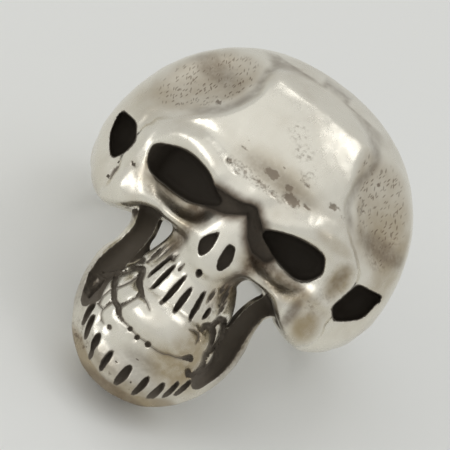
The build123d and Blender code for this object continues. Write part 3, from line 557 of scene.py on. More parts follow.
def cuts(p):
    """Depth taken off, place across the nearest cut, half width of that cut, gap to a dent."""
    depth, cut_half = np.zeros((2, len(p)))
    cut_gap, across, dent_gap = np.full((3, len(p)), PILLOW_WIDTH)
    near = np.flatnonzero((p[:, 1] < FACE_BACK) & (np.abs(p[:, 0]) < FACE_REACH))
    x, z = p[near, 0], p[near, 2]
    for cut in CUTS:
        at = boxed(x, z, cut, PILLOW_WIDTH)
        off, found, side = along(x[at], z[at], cut)
        half = found[:, 0]
        strength = np.minimum(half / CUT_FULL_HALF, DEEPEST_CUT)
        taken = CUT_DEPTH * strength * ease(1 - off / (half + CUT_SLOPE))
        taken += PILLOW_DEPTH * np.minimum(strength, 1.0) * ease(1 - off / PILLOW_WIDTH)
        at = near[at]
        depth[at] = np.maximum(depth[at], taken)
        closer = off - half < cut_gap[at]
        cut_gap[at[closer]] = (off - half)[closer]
        across[at[closer]] = side[closer]
        beyond = np.sqrt(np.maximum(off**2 - side**2, 0))
        beyond += 2 * np.maximum(off - half - CUT_END, 0)
        cut_half[at[closer]] = (half - beyond)[closer]
    for valley in VALLEYS:
        at = boxed(x, z, valley, VALLEY_REACH)
        off, found, _ = along(x[at], z[at], valley)
        depth[near[at]] += found[:, 1] * ease(1 - off / (2 * found[:, 0]))
    for dent in DENTS:
        cx, cz, wide, high, deep = dent
        at = boxed(x, z, [dent], DENT_REACH * max(wide, high))
        off = np.hypot((x[at] - cx) / wide, (z[at] - cz) / high)
        at = near[at]
        depth[at] += deep * ease(DENT_RIM - off)
        dent_gap[at] = np.minimum(dent_gap[at], (off - 1) * min(wide, high))
    return depth, across, cut_half, dent_gap


def bevel(p):
    """The slope filed round the underside of the chin."""
    x, y, z = p.T
    u = (x + JAW_SHIFT) / HALF_JAW
    forward = -y - BORE - BEVEL_STAND * HEAD_STAND + BEVEL_BACK * u**2
    slope = (forward - (1 - chin_oval(x, z)) * HALF_JAW) / np.sqrt(2)
    return np.where(z < JAW_LEVEL, slope, slope - (z - JAW_LEVEL) * 2)


def cast(p):
    """The ring's front, before any hole is cut."""
    d = union(face_with_nose(p), jaw(p), SOFT)
    semi = np.array([TEETH_WIDTH, TEETH_ROUND, TEETH_HEIGHT]) / 2
    at = (TEETH[0] * HALF_JAW, semi[1] - TEETH_PROUD - BORE, TEETH[1] * JAW_DROP)
    return union(d, rounded(p, at, semi), TIGHT)


# Openings: the eye sockets with the wider space behind their lids, the holes under the
# cheekbones' arches, the nostrils, and the slots over the roots of the teeth, cut with a burr
# and blackened inside; and the plain hollows behind the forehead and the teeth.
EYE_FLOOR = 2.3
EYE_CHAMBER = 3.8
EYE_MIDDLE = 0.026
EYE_HALF_HEIGHT = 0.157
WALL_SLOPE = 2.4
ARCH_FLOOR = 0.2
ARCH_CORNER = 0.3
NOSTRIL_DEPTH = 1.2
HOLLOW_ANGLE = 40.0
HOLLOW_FLOOR = 0.31
HOLLOW_TOP = 0.78
SCOOP_DEPTH = 6.2
SCOOP = (0.6, 0.227, -0.66)
SLOT_DEPTH = 0.75
SLOT_SQUARE = 1.8
FAR = 2.0
EDGE_FROM = 0.5
FLARE_FROM = 0.1
# x, top z, bottom z
EYES = [
    [(-0.675, 0.055, 0.02), (-0.655, 0.072, -0.025), (-0.612, 0.096, -0.068), (-0.555, 0.122, -0.084),
     (-0.485, 0.137, -0.089), (-0.373, 0.13, -0.089), (-0.299, 0.106, -0.078), (-0.224, 0.058, -0.045),
     (-0.149, 0.03, 0.0)],
    [(0.149, 0.045, 0.015), (0.224, 0.082, -0.016), (0.299, 0.112, -0.045), (0.403, 0.132, -0.068),
     (0.47, 0.134, -0.068), (0.53, 0.115, -0.03), (0.565, 0.065, 0.02)],
]
# corners x, z, anticlockwise
ARCHES = [
    [(-0.945, 0.104), (-0.935, -0.022), (-0.866, -0.127), (-0.828, -0.153), (-0.787, -0.09),
     (-0.776, 0.007), (-0.836, 0.093)],
    [(0.94, 0.146), (0.784, 0.119), (0.739, -0.082), (0.795, -0.134), (0.888, -0.067), (0.925, -0.015)],
]
# corners x, z as shares of NOSE_WIDTH and NOSE_HEIGHT below its top, anticlockwise
NOSTRILS = [
    [(-0.15, -0.41), (-0.20, -0.46), (-0.265, -0.53), (-0.30, -0.62), (-0.275, -0.70), (-0.215, -0.775),
     (-0.175, -0.79), (-0.125, -0.735), (-0.105, -0.63), (-0.12, -0.51)],
    [(0.09, -0.455), (0.085, -0.60), (0.105, -0.71), (0.165, -0.80), (0.20, -0.80), (0.245, -0.735),
     (0.262, -0.64), (0.235, -0.54), (0.175, -0.45)],
]
# top x, z, bottom x, z, width, in millimetres
SLOTS = [
    (-2.72, -5.5, -3.15, -7.75, 0.28), (-2.02, -5.95, -2.35, -8.35, 0.3),
    (-0.8, -6.2, -1.05, -8.8, 0.27), (0.12, -6.6, 0.15, -8.75, 0.34), (1.15, -6.2, 1.52, -8.5, 0.3),
    (2.33, -6.95, 2.36, -7.85, 0.26), (-6.1, -10.1, -6.0, -11.9, 0.75),
    (-5.3, -12.1, -5.35, -13.8, 0.5), (-4.75, -12.85, -4.5, -14.6, 0.42),
    (-3.5, -13.75, -3.3, -15.1, 0.48), (-3.3, -15.1, -3.2, -15.85, 0.3),
    (-1.88, -14.25, -1.85, -15.95, 0.38), (0.02, -14.3, -0.05, -16.1, 0.54),
    (1.68, -14.2, 1.6, -15.95, 0.4), (3.0, -13.85, 2.98, -15.9, 0.56), (3.8, -13.1, 3.9, -14.7, 0.42),
    (4.55, -12.4, 4.6, -13.95, 0.5), (-0.18, -5.0, -0.05, -5.5, 0.36),
]


def eyes(p):
    """Both sockets, as one form to take away."""
    x, y, z = p.T
    both = np.full(len(p), np.inf)
    for eye in EYES:
        knots, upper, lower = np.array(eye).T * [[HALF_WIDTH], [HALF_HEIGHT], [HALF_HEIGHT]]
        opening = meet(z - bend(x, knots, upper), bend(x, knots, lower) - z, TIGHT)
        opening = meet(opening, np.maximum(knots[0] - x, x - knots[-1]), TIGHT)
        semi = np.array([(knots[-1] - knots[0]) / 2, EYE_CHAMBER / 2, EYE_HALF_HEIGHT * HALF_HEIGHT])
        middle = ((knots[0] + knots[-1]) / 2, -BORE - EYE_FLOOR - semi[1], EYE_MIDDLE * HALF_HEIGHT)
        chamber = rounded(p, middle, semi)
        hollow = meet(union(opening, chamber, TIGHT), y + BORE + EYE_FLOOR, SOFT)
        if knots[0] < 0:
            wall = ((y - skin(knots[0], 0.0)) - (x - knots[0]) * WALL_SLOPE) / np.hypot(1, WALL_SLOPE)
            hollow = meet(hollow, wall, SOFT)
        both = np.minimum(both, hollow)
    return both


def front(x, z, steps=160):
    """y where the cast face is met when coming from the front."""
    y = np.linspace(-TEETH_PROUD - BORE - WIDE, -BORE, steps)
    points = np.stack(np.broadcast_arrays(np.reshape(x, (-1, 1)), y, np.reshape(z, (-1, 1))), -1)
    value = cast(points.reshape(-1, 3)).reshape(-1, len(y))
    hit = np.argmax(value < 0, axis=1)
    row = np.arange(len(value))
    share = value[row, hit - 1] / (value[row, hit - 1] - value[row, hit])
    return y[hit - 1] + share * (y[1] - y[0])


def slot_places(probe=0.05):
    """Middle, length direction, outward direction, length and width of each slot."""
    places = []
    for top_x, top, bottom_x, bottom, width in SLOTS:
        x = np.linspace(top_x, bottom_x, 3)
        z = np.linspace(top, bottom, 3)
        at = np.stack([x, front(x, z), z], 1)
        out = np.array([cast(at[1:2] + way)[0] - cast(at[1:2] - way)[0] for way in np.eye(3) * probe])
        out /= np.linalg.norm(out)
        along = at[0] - at[2]
        length = np.linalg.norm(along)
        along -= out * (along @ out)
        places.append((at[1], along / np.linalg.norm(along), out, length, width))
    return places


slots_at = slot_places()


def prism(p, outline, k):
    """What lies inside an outline of corners x, z, at any depth."""
    d = np.full(len(p), FAR)
    reach = np.abs(outline - outline.mean(0)).max() + FAR
    near = np.flatnonzero((np.abs(p[:, [0, 2]] - outline.mean(0)) < reach).all(1) & (p[:, 1] < 0))
    q = p[near][:, [0, 2]]
    inside = np.full(len(q), -np.inf)
    for a, b in zip(outline, np.roll(outline, -1, axis=0)):
        away = np.array([b[1] - a[1], a[0] - b[0]])
        inside = meet(inside, (q - a) @ away / np.hypot(*(b - a)), k)
    d[near] = inside
    return d


def pits(p):
    """Slots, nostrils and arch openings, as one form to take away."""
    d = np.full(len(p), FAR)
    for middle, along, out, length, width in slots_at:
        q = p - middle
        near = np.flatnonzero((np.abs(q) < length / 2 + BROAD).all(1))
        q = q[near]
        local = np.stack([q @ along, q @ np.cross(out, along), np.zeros(len(q))], 1)
        oval = rounded(local, 0.0, np.array([length, width, 1.0]) / 2, SLOT_SQUARE)
        d[near] = np.minimum(d[near], meet(oval, -SLOT_DEPTH - q @ out, CRISP))
    nose_size = (NOSE_WIDTH, NOSE_HEIGHT)
    for corners in NOSTRILS:
        outline = np.array(corners) * nose_size + (0.0, NOSE_TOP * HALF_HEIGHT)
        floor = p[:, 1] + NOSE_PROUD + BORE - NOSTRIL_DEPTH
        d = np.minimum(d, meet(prism(p, outline, CRISP), floor, CRISP))
    for corners in ARCHES:
        outline = np.array(corners) * (HALF_WIDTH, HALF_HEIGHT)
        floor = p[:, 1] - ARCH_FLOOR + BORE
        d = np.minimum(d, meet(prism(p, outline, ARCH_CORNER), floor, TIGHT))
    return d


def ring(p):
    """Signed distance, near enough, to the whole finished ring."""
    x, y, z = p.T
    rho = np.hypot(x, y)
    outer = cast(p)
    d = union(outer + cuts(p)[0], band(p), BROAD)
    d = meet(d, bevel(p), CRISP)
    angle = np.radians(HOLLOW_ANGLE)
    wedge = np.abs(x) * np.cos(angle) + y * np.sin(angle)
    level = np.maximum(HOLLOW_FLOOR * HALF_HEIGHT - z, z - HOLLOW_TOP * HALF_HEIGHT)
    d = carve(d, meet(meet(outer + HEAD_WALL, wedge, WIDE), level, BROAD), SOFT)
    scoop = np.array([SCOOP[0] * HALF_JAW, SCOOP_DEPTH, SCOOP[1] * JAW_DROP])
    d = carve(d, rounded(p, (0.0, -BORE, SCOOP[2] * JAW_DROP), scoop), SOFT)
    d = carve(d, eyes(p), TIGHT)
    d = carve(d, pits(p), CRISP)
    beyond = (np.abs(z) - BAND_HEIGHT_SHOULDER / 2) / BROAD
    edge = CRISP + (SOFT - CRISP) * ease(y / BORE + EDGE_FROM)
    return carve(d, rho - BORE - FLARE * ease(beyond + FLARE_FROM), edge)


# Casting. The silver takes the wax's whole surface in one closed skin, fine over the teeth and
# face and coarse round the back of the band.
CORNERS = [(0, 0, 0), (1, 0, 0), (0, 1, 0), (1, 1, 0), (0, 0, 1), (1, 0, 1), (0, 1, 1), (1, 1, 1)]
EDGES = [(a, b) for a in range(8) for b in range(a + 1, 8)
         if np.abs(np.subtract(CORNERS[a], CORNERS[b])).sum() == 1]


def sheets(inside):
    """Which sheet of the surface each of a cell's edges belongs to, and how many sheets."""
    cut = [e for e, (a, b) in enumerate(EDGES) if inside[a] != inside[b]]
    links = {e: [] for e in cut}
    for axis in range(3):
        for side in (0, 1):
            ring_of = [e for e in cut if all(CORNERS[c][axis] == side for c in EDGES[e])]
            pairs = [ring_of] if len(ring_of) == 2 else []
            if len(ring_of) == 4:
                solid = [c for c in range(8) if CORNERS[c][axis] == side and inside[c]]
                pairs = [[e for e in ring_of if c in EDGES[e]] for c in solid]
            for a, b in pairs:
                links[a].append(b)
                links[b].append(a)
    number = [-1] * len(EDGES)
    count = 0
    for first in cut:
        if number[first] >= 0:
            continue
        queue = [first]
        while queue:
            e = queue.pop()
            if number[e] < 0:
                number[e] = count
                queue += links[e]
        count += 1
    return number, count


def levels(*spans):
    """Grid levels through (start, end, cell) spans that follow each other."""
    out = [np.array([spans[0][0]])]
    for start, end, cell in spans:
        out.append(np.linspace(start, end, max(1, round((end - start) / cell)) + 1)[1:])
    return np.concatenate(out)


def sample(field, axes, block=8, slack=2.2, batch=200):
    """Field values on the grid, worked out only in the blocks that are near the surface."""
    shape = tuple(len(a) for a in axes)
    value = np.empty(shape)
    starts = [np.arange(0, n, block) for n in shape]
    ends = [np.minimum(s + block, n) - 1 for s, n in zip(starts, shape)]
    middle = [(a[s] + a[e]) / 2 for a, s, e in zip(axes, starts, ends)]
    half = [(a[e] - a[s]) / 2 for a, s, e in zip(axes, starts, ends)]
    centre = np.stack(np.meshgrid(*middle, indexing="ij"), -1).reshape(-1, 3)
    reach = np.linalg.norm(np.stack(np.meshgrid(*half, indexing="ij"), -1).reshape(-1, 3), axis=1)
    corner = np.stack(np.meshgrid(*starts, indexing="ij"), -1).reshape(-1, 3)
    rough = field(centre)
    near = np.abs(rough) < reach * slack + SOFT
    for (i, j, k), v in zip(corner[~near], rough[~near]):
        value[i:i + block, j:j + block, k:k + block] = v
    todo = corner[near]
    for group in np.array_split(todo, max(1, len(todo) // batch)):
        spans = [[a[c:c + block] for a, c in zip(axes, at)] for at in group]
        parts = [np.stack(np.meshgrid(*span, indexing="ij"), -1) for span in spans]
        found = field(np.concatenate([part.reshape(-1, 3) for part in parts]))
        done = 0
        for (i, j, k), part in zip(group, parts):
            n, m, l = part.shape[:3]
            value[i:i + n, j:j + m, k:k + l] = found[done:done + n * m * l].reshape(n, m, l)
            done += n * m * l
    return value


def surface(value, axes):
    """Corners, quads and cell sizes of the zero surface on the grid."""
    grid = np.stack(np.meshgrid(*axes, indexing="ij"), -1)
    inside = value < 0
    cells = tuple(n - 1 for n in value.shape)
    window = [tuple(slice(o, o + n) for o, n in zip(corner, cells)) for corner in CORNERS]
    kind = sum(inside[w].astype(int) << c for c, w in enumerate(window))
    table = [sheets([(k >> c) & 1 for c in range(8)]) for k in range(256)]
    number = np.array([t[0] for t in table])
    count = np.array([t[1] for t in table])[kind]
    first = np.cumsum(count).reshape(cells) - count
    cell = np.argwhere(count > 0)
    here = tuple(cell.T)
    points = np.zeros((count.sum(), 3))
    weight = np.zeros(count.sum())
    for e, (a, b) in enumerate(EDGES):
        sheet = number[kind[here], e]
        on = sheet >= 0
        ids = first[here][on] + sheet[on]
        ia = tuple((cell[on] + CORNERS[a]).T)
        ib = tuple((cell[on] + CORNERS[b]).T)
        share = (value[ia] / (value[ia] - value[ib]))[:, None]
        np.add.at(points, ids, grid[ia] + (grid[ib] - grid[ia]) * share)
        np.add.at(weight, ids, 1)
    points /= weight[:, None]
    owner = np.repeat(cell, count[here], axis=0)
    size = grid[tuple((owner + 1).T)] - grid[tuple(owner.T)]
    quads = []
    for axis in range(3):
        side_a, side_b = [k for k in range(3) if k != axis]
        ahead = np.eye(3, dtype=int)[axis]
        start = np.argwhere(np.diff(inside, axis=axis))
        keep = np.all((start[:, [side_a, side_b]] > 0), axis=1)
        start = start[keep & np.all(start < np.array(value.shape) - 1, axis=1)]
        loop = []
        for da, db in ((1, 1), (0, 1), (0, 0), (1, 0)):
            shift = np.zeros(3, int)
            shift[side_a] = da
            shift[side_b] = db
            e = EDGES.index((CORNERS.index(tuple(shift)), CORNERS.index(tuple(shift + ahead))))
            at = tuple((start - shift).T)
            loop.append(first[at] + number[kind[at], e])
        loop = np.stack(loop, 1)
        outward = inside[tuple(start.T)] != (axis == 1)
        quads.append(np.where(outward[:, None], loop, loop[:, ::-1]))
    return points, np.concatenate(quads), size


def gradient(field, points, step=0.01):
    ways = np.eye(3) * step
    return np.stack([(field(points + way) - field(points - way)) / (2 * step) for way in ways], 1)


def settle(field, points, size, rounds=3, reach=0.6, flattest=0.2):
    """Moves the corners onto the surface, each within its own cell's reach."""
    moved = points
    for _ in range(rounds):
        slope = gradient(field, moved)
        pull = field(moved) / np.maximum((slope**2).sum(1), flattest)
        moved = np.clip(moved - slope * pull[:, None], points - size * reach, points + size * reach)
    return moved


def facets(points, quads):
    """Each quad split on its shorter diagonal, or on the other where two would share one."""
    a, b, c, d = (points[quads[:, i]] for i in range(4))
    first = np.linalg.norm(a - c, axis=1) <= np.linalg.norm(b - d, axis=1)
    for _ in range(4):
        one, other = quads[first], quads[~first]
        parts = [one[:, [0, 1, 2]], one[:, [0, 2, 3]], other[:, [0, 1, 3]], other[:, [1, 2, 3]]]
        triangles = np.concatenate(parts)
        sides = np.concatenate([triangles[:, [0, 1]], triangles[:, [1, 2]], triangles[:, [2, 0]]])
        sides, uses = np.unique(np.sort(sides, axis=1), axis=0, return_counts=True)
        crowded = sides[uses > 2]
        if not len(crowded):
            break
        diagonal = np.sort(np.where(first[:, None], quads[:, [0, 2]], quads[:, [1, 3]]), axis=1)
        shared = (diagonal[:, None] == crowded[None]).all(2).any(1)
        first = first ^ shared
    return triangles


FINEST = 0.13
FINE = 0.16
FACING = 0.215
MEDIUM = 0.23
COARSE = 0.34
COARSEST = 0.6
# start, end, cell of each span: across, from front to back, upwards
grid_axes = (
    levels((-15.3, -6.4, MEDIUM), (-6.4, 5.4, FINEST), (5.4, 15.3, MEDIUM)),
    levels((-21.2, -13.0, FACING), (-13.0, -8.0, COARSE), (-8.0, 13.6, COARSEST)),
    levels((-18.6, -13.0, FINE), (-13.0, -7.0, FINEST), (-7.0, -4.4, FINE), (-4.4, 4.6, MEDIUM),
           (4.6, 15.4, COARSE)),
)
wax, quads, cell_size = surface(sample(ring, grid_axes), grid_axes)
wax = settle(ring, wax, cell_size)
triangles = facets(wax, quads)

# Where the bright metal has gone: how hemmed in a place is, how far in millimetres it is from the
# walls of the openings, cuts and dents, and the spots where the finish is uneven, some of them painted
# shade.
RECESS_REACHES = (0.3, 0.7, 1.5, 3.0)
RECESS_FADE = 0.8
OPEN_SHARE = 0.85
SPOT_RIM = 1.4
# middle and half width of the dark line round the plate, tarnish and painted shade at its foot, in
# millimetres inside its outline
BORDER_LINE = (-0.45, 0.55)
# start, length of the smooth steps that bound each layer: millimetres, a slope or a share
FRONT_STEP = (0.05, 0.3)
BORDER_LOW = (4.2, 1.2)
OPEN_ABOVE = (4.8, 1.5)
OPEN_SLOPE = (0.0, 0.3)
BEVEL_RIM = (0.885, 0.03)
BEVEL_TOP = (14.2, 1.0)
BEVEL_FRONT = (BORE + 4, 1.5)
DISH_STEP = (-0.5, 0.9)
DISH_FRONT = (-HEAD_CENTRE[1] - 3, 3.0)
SPOT_FRONT = (BORE, 2.0)
# Brown patches: tarnish, and painted shade beside the nose, under the eyes and down the right side of the
# face.
# x, z, half width, half height, strength
BROWN_SHADE_PATCHES = [
    (-8.4, -0.2, 0.6, 1.2, 0.9), (-6.0, -1.7, 3.2, 0.8, 0.6), (-3.4, -2.0, 1.3, 1.4, 0.9),
    (9.1, 0.9, 0.9, 1.6, 1.0), (9.0, -3.5, 1.2, 1.5, 1.0), (6.4, -2.0, 3.2, 1.0, 0.9),
    (2.8, -1.6, 1.3, 1.6, 0.9), (2.4, -5.0, 1.2, 1.6, 0.8), (2.8, -12.4, 2.4, 1.9, 1.0),
    (3.1, -10.4, 1.8, 2.8, 0.9), (-3.4, -4.2, 0.8, 1.2, 0.6), (2.0, -16.2, 3.0, 1.1, 0.8),
    (-3.0, -15.8, 3.0, 1.2, 0.5), (12.0, 5.0, 1.2, 5.0, 0.6), (9.5, 6.0, 2.4, 2.8, 0.5),
    (7.2, 3.0, 1.8, 0.6, 0.5), (-11.2, 3.2, 1.4, 2.0, 0.4), (0.5, 4.6, 4.4, 1.3, 0.5),
]
# Smoked patches: tarnish, and painted shade along the sides of the nose and under the inner corners of
# the eyes.
SMOKE_SHADE_PATCHES = [
    (2.8, -1.5, 0.8, 1.7, 1.0), (3.7, -1.6, 1.2, 0.9, 0.9), (-3.0, -1.5, 1.1, 1.0, 0.9),
    (2.75, -3.5, 0.5, 1.5, 0.9), (-2.95, -3.4, 0.5, 1.2, 0.7), (5.6, -1.5, 2.6, 0.5, 0.6),
    (-6.2, -1.5, 2.6, 0.4, 0.4), (2.5, -4.4, 0.6, 1.8, 0.9), (-2.9, -4.3, 0.6, 1.7, 0.8),
    (9.0, 0.9, 0.5, 1.4, 0.5), (-8.4, -0.1, 0.3, 0.9, 0.6), (10.4, 4.9, 2.4, 0.9, 0.6),
    (-8.8, 8.4, 2.4, 1.0, 0.5), (0.4, 4.4, 3.8, 0.8, 0.4), (6.2, -7.5, 0.8, 4.5, 0.6),
    (-6.6, -10.6, 1.0, 2.6, 0.5), (0.0, -14.8, 4.6, 1.0, 0.35), (0.4, -13.5, 1.8, 0.8, 0.45),
    (0.3, -16.6, 4.6, 0.5, 0.6), (7.6, -3.4, 0.5, 1.6, 0.7),
]
MOTTLED = [
    (-0.8, 3.4, 3.4, 0.6, 0.9), (1.6, 4.2, 1.8, 0.7, 0.7), (-0.5, 8.3, 0.8, 0.7, 0.9),
    (0.8, 7.3, 0.8, 0.7, 0.9), (2.2, 6.0, 0.8, 0.9, 0.6), (-6.6, -10.6, 1.2, 2.8, 1.0),
    (-3.0, -6.4, 1.4, 1.8, 0.6), (2.9, -6.4, 1.3, 1.7, 0.8), (-4.6, -14.6, 1.4, 1.2, 0.8),
    (-6.2, -2.0, 3.0, 0.9, 0.5), (6.2, -2.0, 3.2, 1.0, 0.8), (9.0, 0.5, 0.9, 2.2, 0.5),
    (10.6, 4.8, 1.6, 1.4, 0.8), (-8.6, 8.8, 1.6, 1.0, 0.6), (0.0, -15.2, 4.5, 0.9, 0.45),
]


def past(value, start, length):
    """Smooth step from 0 at the start to 1 a length on."""
    return ease((value - start) / length)


def spots(rows):
    """Soft patches on the front."""
    total = np.zeros(len(wax))
    for x, z, wide, high, strength in rows:
        off = np.hypot((wax[:, 0] - x) / wide, (wax[:, 2] - z) / high)
        total = np.maximum(total, strength * ease(SPOT_RIM - off))
    return total * past(-wax[:, 1], *SPOT_FRONT)


out = gradient(ring, wax)
steep = np.linalg.norm(out, axis=1)
out /= steep[:, None]
recess = np.zeros(len(wax))
weight = 1.0
for reach in RECESS_REACHES:
    open_air = np.minimum(steep, 1.0) * reach - ring(wax + out * reach)
    recess += weight * np.clip(open_air, 0, None) / reach
    weight *= RECESS_FADE
radial = wax - HEAD_CENTRE
radial /= np.linalg.norm(radial, axis=1)[:, None]
recess *= 1 - OPEN_SHARE * past(wax[:, 2], *OPEN_ABOVE) * past((out * radial).sum(1), *OPEN_SLOPE)
arm_hollows = np.minimum(*(tube(wax, arm_rows(side)[1]) for side in (-1, 1)))
cut_across, cut_half, dent_gap = cuts(wax)[1:]
off_border = np.abs(inset(wax[:, 0], wax[:, 2]) - BORDER_LINE[0]) / BORDER_LINE[1]
border = ease(1 - off_border) * past(-out[:, 1], *FRONT_STEP) * past(wax[:, 2], *BORDER_LOW)
chin_rim = past(chin_oval(wax[:, 0], wax[:, 2]), *BEVEL_RIM)
bevelled = chin_rim * past(-wax[:, 2], *BEVEL_TOP) * past(-wax[:, 1], *BEVEL_FRONT)
dishes = [past(-temple(wax, cx, cz), *DISH_STEP) for cx, cz in TEMPLES]
dished = np.maximum(*dishes) * past(-wax[:, 1], *DISH_FRONT)
layers = {
    "recess": recess, "border": border, "bevelled": bevelled, "dished": dished,
    "hole_gap": np.minimum(np.minimum(eyes(wax), pits(wax)), arm_hollows),
    "groove_gap": bridge(wax), "cut_across": cut_across, "cut_half": cut_half, "dent_gap": dent_gap,
    "brown_and_shade": spots(BROWN_SHADE_PATCHES), "smoked_and_shaded": spots(SMOKE_SHADE_PATCHES), "mottled": spots(MOTTLED),
}

axis = np.array(hole["axis"])
to_row = np.array([[1.0, 0.0, 0.0], [0.0, axis[2], axis[1]], [0.0, -axis[1], axis[2]]])
skull_origin = np.array(hole["pos_m"])
placed = wax @ to_row.T * MM + skull_origin
placed = np.clip(placed, *cad_box)

casting_mesh = bpy.data.meshes.new("skull_ring_casting")
casting_mesh.from_pydata(placed.tolist(), [], triangles.tolist())
casting_mesh.validate()
for name, values in layers.items():
    attribute = casting_mesh.attributes.new(name, "FLOAT", "POINT")
    attribute.data.foreach_set("value", values.astype(np.float32))
casting = bpy.data.objects.new("skull_ring_casting", casting_mesh)
bpy.context.scene.collection.objects.link(casting)


# Oxidised silver. The cast ring was blackened all over in a sulphur bath and polished back, so
# the black stays in the recesses, thins to brown round them, and the raised places are bright,
# finely scratched metal; the temples were left as cast, dull and nicked.
# Brown and olive patches beside the nose, under the eyes and down the right side, the brown round the
# groove over the nose and the dark line round the plate are partly painted shade.
SILVER = (0.80, 0.765, 0.675, 1.0)
DULL_SILVER = (0.50, 0.43, 0.33, 1.0)
OLIVE_TARNISH_AND_SHADE = (0.40, 0.325, 0.21, 1.0)
BROWN_TARNISH_AND_SHADE = (0.15, 0.108, 0.075, 1.0)
SULPHIDE = (0.10, 0.082, 0.062, 1.0)
BUMP_STRENGTH = 0.16
BUMP_DEPTH = 0.10
# size in millimetres, detail
FINE_NOISE = (0.28, 4.0)
MIDDLING_NOISE = (0.9, 4.0)
BROAD_NOISE = (3.5, 3.0)
# factor, added: the noise that breaks an edge, in millimetres
WOBBLE = (0.5, -0.25)
RAGGED = (0.16, -0.08)
TORN = (0.5, -0.5)
CUT_RAGGED = 0.2
# how black or brown each mark is
CUT_BLACK = 0.9
DENT_BROWN = 0.75
MOTTLE_BROWN = 0.65
CUT_BROWN = 0.35
# how much a noise or a layer counts in the specks, the wear, the clouding, the roughness, the
# relief and the metal; GLOSS is factor, added
SPECKS_MIDDLING = 0.6
WORN_BROAD = 0.5
CLOUD_BROAD = 0.8
CLOUD_DULL = 0.5
BEVEL_DARKENING = 0.6
GLOSS = (0.16, 0.20)
GLOSS_DULL = 0.22
GLOSS_BLACK = 0.45
GLOSS_BROWN = 0.15
RELIEF_FINE = 0.25
RELIEF_SCRATCH = -0.12
RELIEF_NICK = 1.2
RELIEF_MOTTLE = 0.8
RELIEF_BLACK = -0.85
METAL_BLACK = -0.8
# start, end, lowest, highest of the smooth steps between bright, brown and black
STEPS = {
    "hemmed": (0.35, 1.5, 0.0, 1.0),
    "shadow": (0.35, 0.95, 0.0, 1.0),
    "hole": (0.15, 0.06, 0.0, 1.0),
    "cut": (0.02, -0.05, 0.0, 1.0),
    "groove": (0.42, -0.12, 0.0, 1.0),
    "dent": (0.06, -0.12, 0.0, 1.0),
    "specks": (0.74, 1.0, 0.0, 1.0),
    "worn deep": (0.5, 1.1, 0.0, 1.0),
    "round recess": (0.08, 0.6, 0.0, 0.7),
    "groove shade": (1.0, 0.1, 0.0, 0.9),
    "round cut": (0.22, 0.0, 0.0, 1.0),
    "smoke_and_shade": (0.7, 1.2, 0.65, 1.0),
    "crease": (0.6, 1.2, 0.15, 0.55),
    "stain_and_shade": (0.6, 1.2, 0.55, 1.0),
    "cloud": (0.3, 1.0, 0.0, 1.0),
    "scratch": (0.60, 0.72, 0.0, 1.0),
}
# size in millimetres, detail, stretch, turn
SCRATCHES = [(0.05, 2.0, (60.0, 1.0, 1.5), 0.6), (0.06, 2.0, (1.0, 1.0, 50.0), -0.3)]
# stretch in millimetres, turn, width
NICKS = [((0.19, 0.8, 0.75), 0.15, 0.33), ((0.22, 1.0, 0.9), -0.5, 0.29)]


def place(tree, kind, inputs=(), **settings):
    """A node with its settings, its inputs linked or set by name or number."""
    node = tree.nodes.new(kind)
    for name, value in settings.items():
        setattr(node, name, value)
    for name, value in dict(inputs).items():
        if isinstance(value, bpy.types.NodeSocket):
            tree.links.new(value, node.inputs[name])
        else:
            node.inputs[name].default_value = value
    return node


def sums(tree, operation, a, b=0.5, c=0.5, clamp=False):
    inputs = {0: a, 1: b, 2: c}
    return place(tree, "ShaderNodeMath", inputs, operation=operation, use_clamp=clamp).outputs[0]


def ramp(tree, value, start, end, low=0.0, high=1.0):
    """Smooth step of the value between start and end."""
    inputs = {"Value": value, "From Min": start, "From Max": end, "To Min": low, "To Max": high}
    return place(tree, "ShaderNodeMapRange", inputs, interpolation_type="SMOOTHSTEP").outputs["Result"]


silver = bpy.data.materials.new("oxidised_silver")
silver.use_nodes = True
tree = silver.node_tree
tree.nodes.clear()
upright = place(tree, "ShaderNodeMapping", {
    "Vector": place(tree, "ShaderNodeTexCoord").outputs["Object"],
    "Rotation": (-np.arcsin(axis[1]), 0, 0),
}, vector_type="TEXTURE").outputs[0]


def spread(size, stretch, turn):
    """The skull's own frame in units of a size in millimetres, stretched, turned in the face."""
    scale = tuple(size * MM * s for s in stretch)
    inputs = {"Vector": upright, "Rotation": (0, turn, 0), "Scale": scale}
    return place(tree, "ShaderNodeMapping", inputs, vector_type="TEXTURE").outputs[0]


def noise(size, detail=3.0, stretch=(1.0, 1.0, 1.0), turn=0.0, rough=0.55):
    inputs = {"Vector": spread(size, stretch, turn), "Scale": 1.0, "Detail": detail, "Roughness": rough}
    return place(tree, "ShaderNodeTexNoise", inputs).outputs["Fac"]


def nick(stretch, turn, width):
    """Scattered short strokes, 1 inside them."""
    inputs = {"Vector": spread(1.0, stretch, turn), "Scale": 1.0}
    off = place(tree, "ShaderNodeTexVoronoi", inputs).outputs["Distance"]
    return ramp(tree, off, width, width * 0.5)


def layer(name):
    return place(tree, "ShaderNodeAttribute", attribute_name=name).outputs["Fac"]


def blend_colour(factor, a, b):
    node = place(tree, "ShaderNodeMix", data_type="RGBA")
    tree.links.new(factor, node.inputs["Factor"])
    for socket, value in ((node.inputs[6], a), (node.inputs[7], b)):
        if isinstance(value, bpy.types.NodeSocket):
            tree.links.new(value, socket)
        else:
            socket.default_value = value
    return node.outputs[2]


def chain(operation):
    """A function that joins its terms by one operation, from the first on."""
    return lambda *terms: reduce(lambda a, b: sums(tree, operation, a, b), terms)


times, plus, minus, most = map(chain, ("MULTIPLY", "ADD", "SUBTRACT", "MAXIMUM"))


def scaled(value, factor, added):
    return sums(tree, "MULTIPLY_ADD", value, factor, added)


def step(name, value):
    return ramp(tree, value, *STEPS[name])


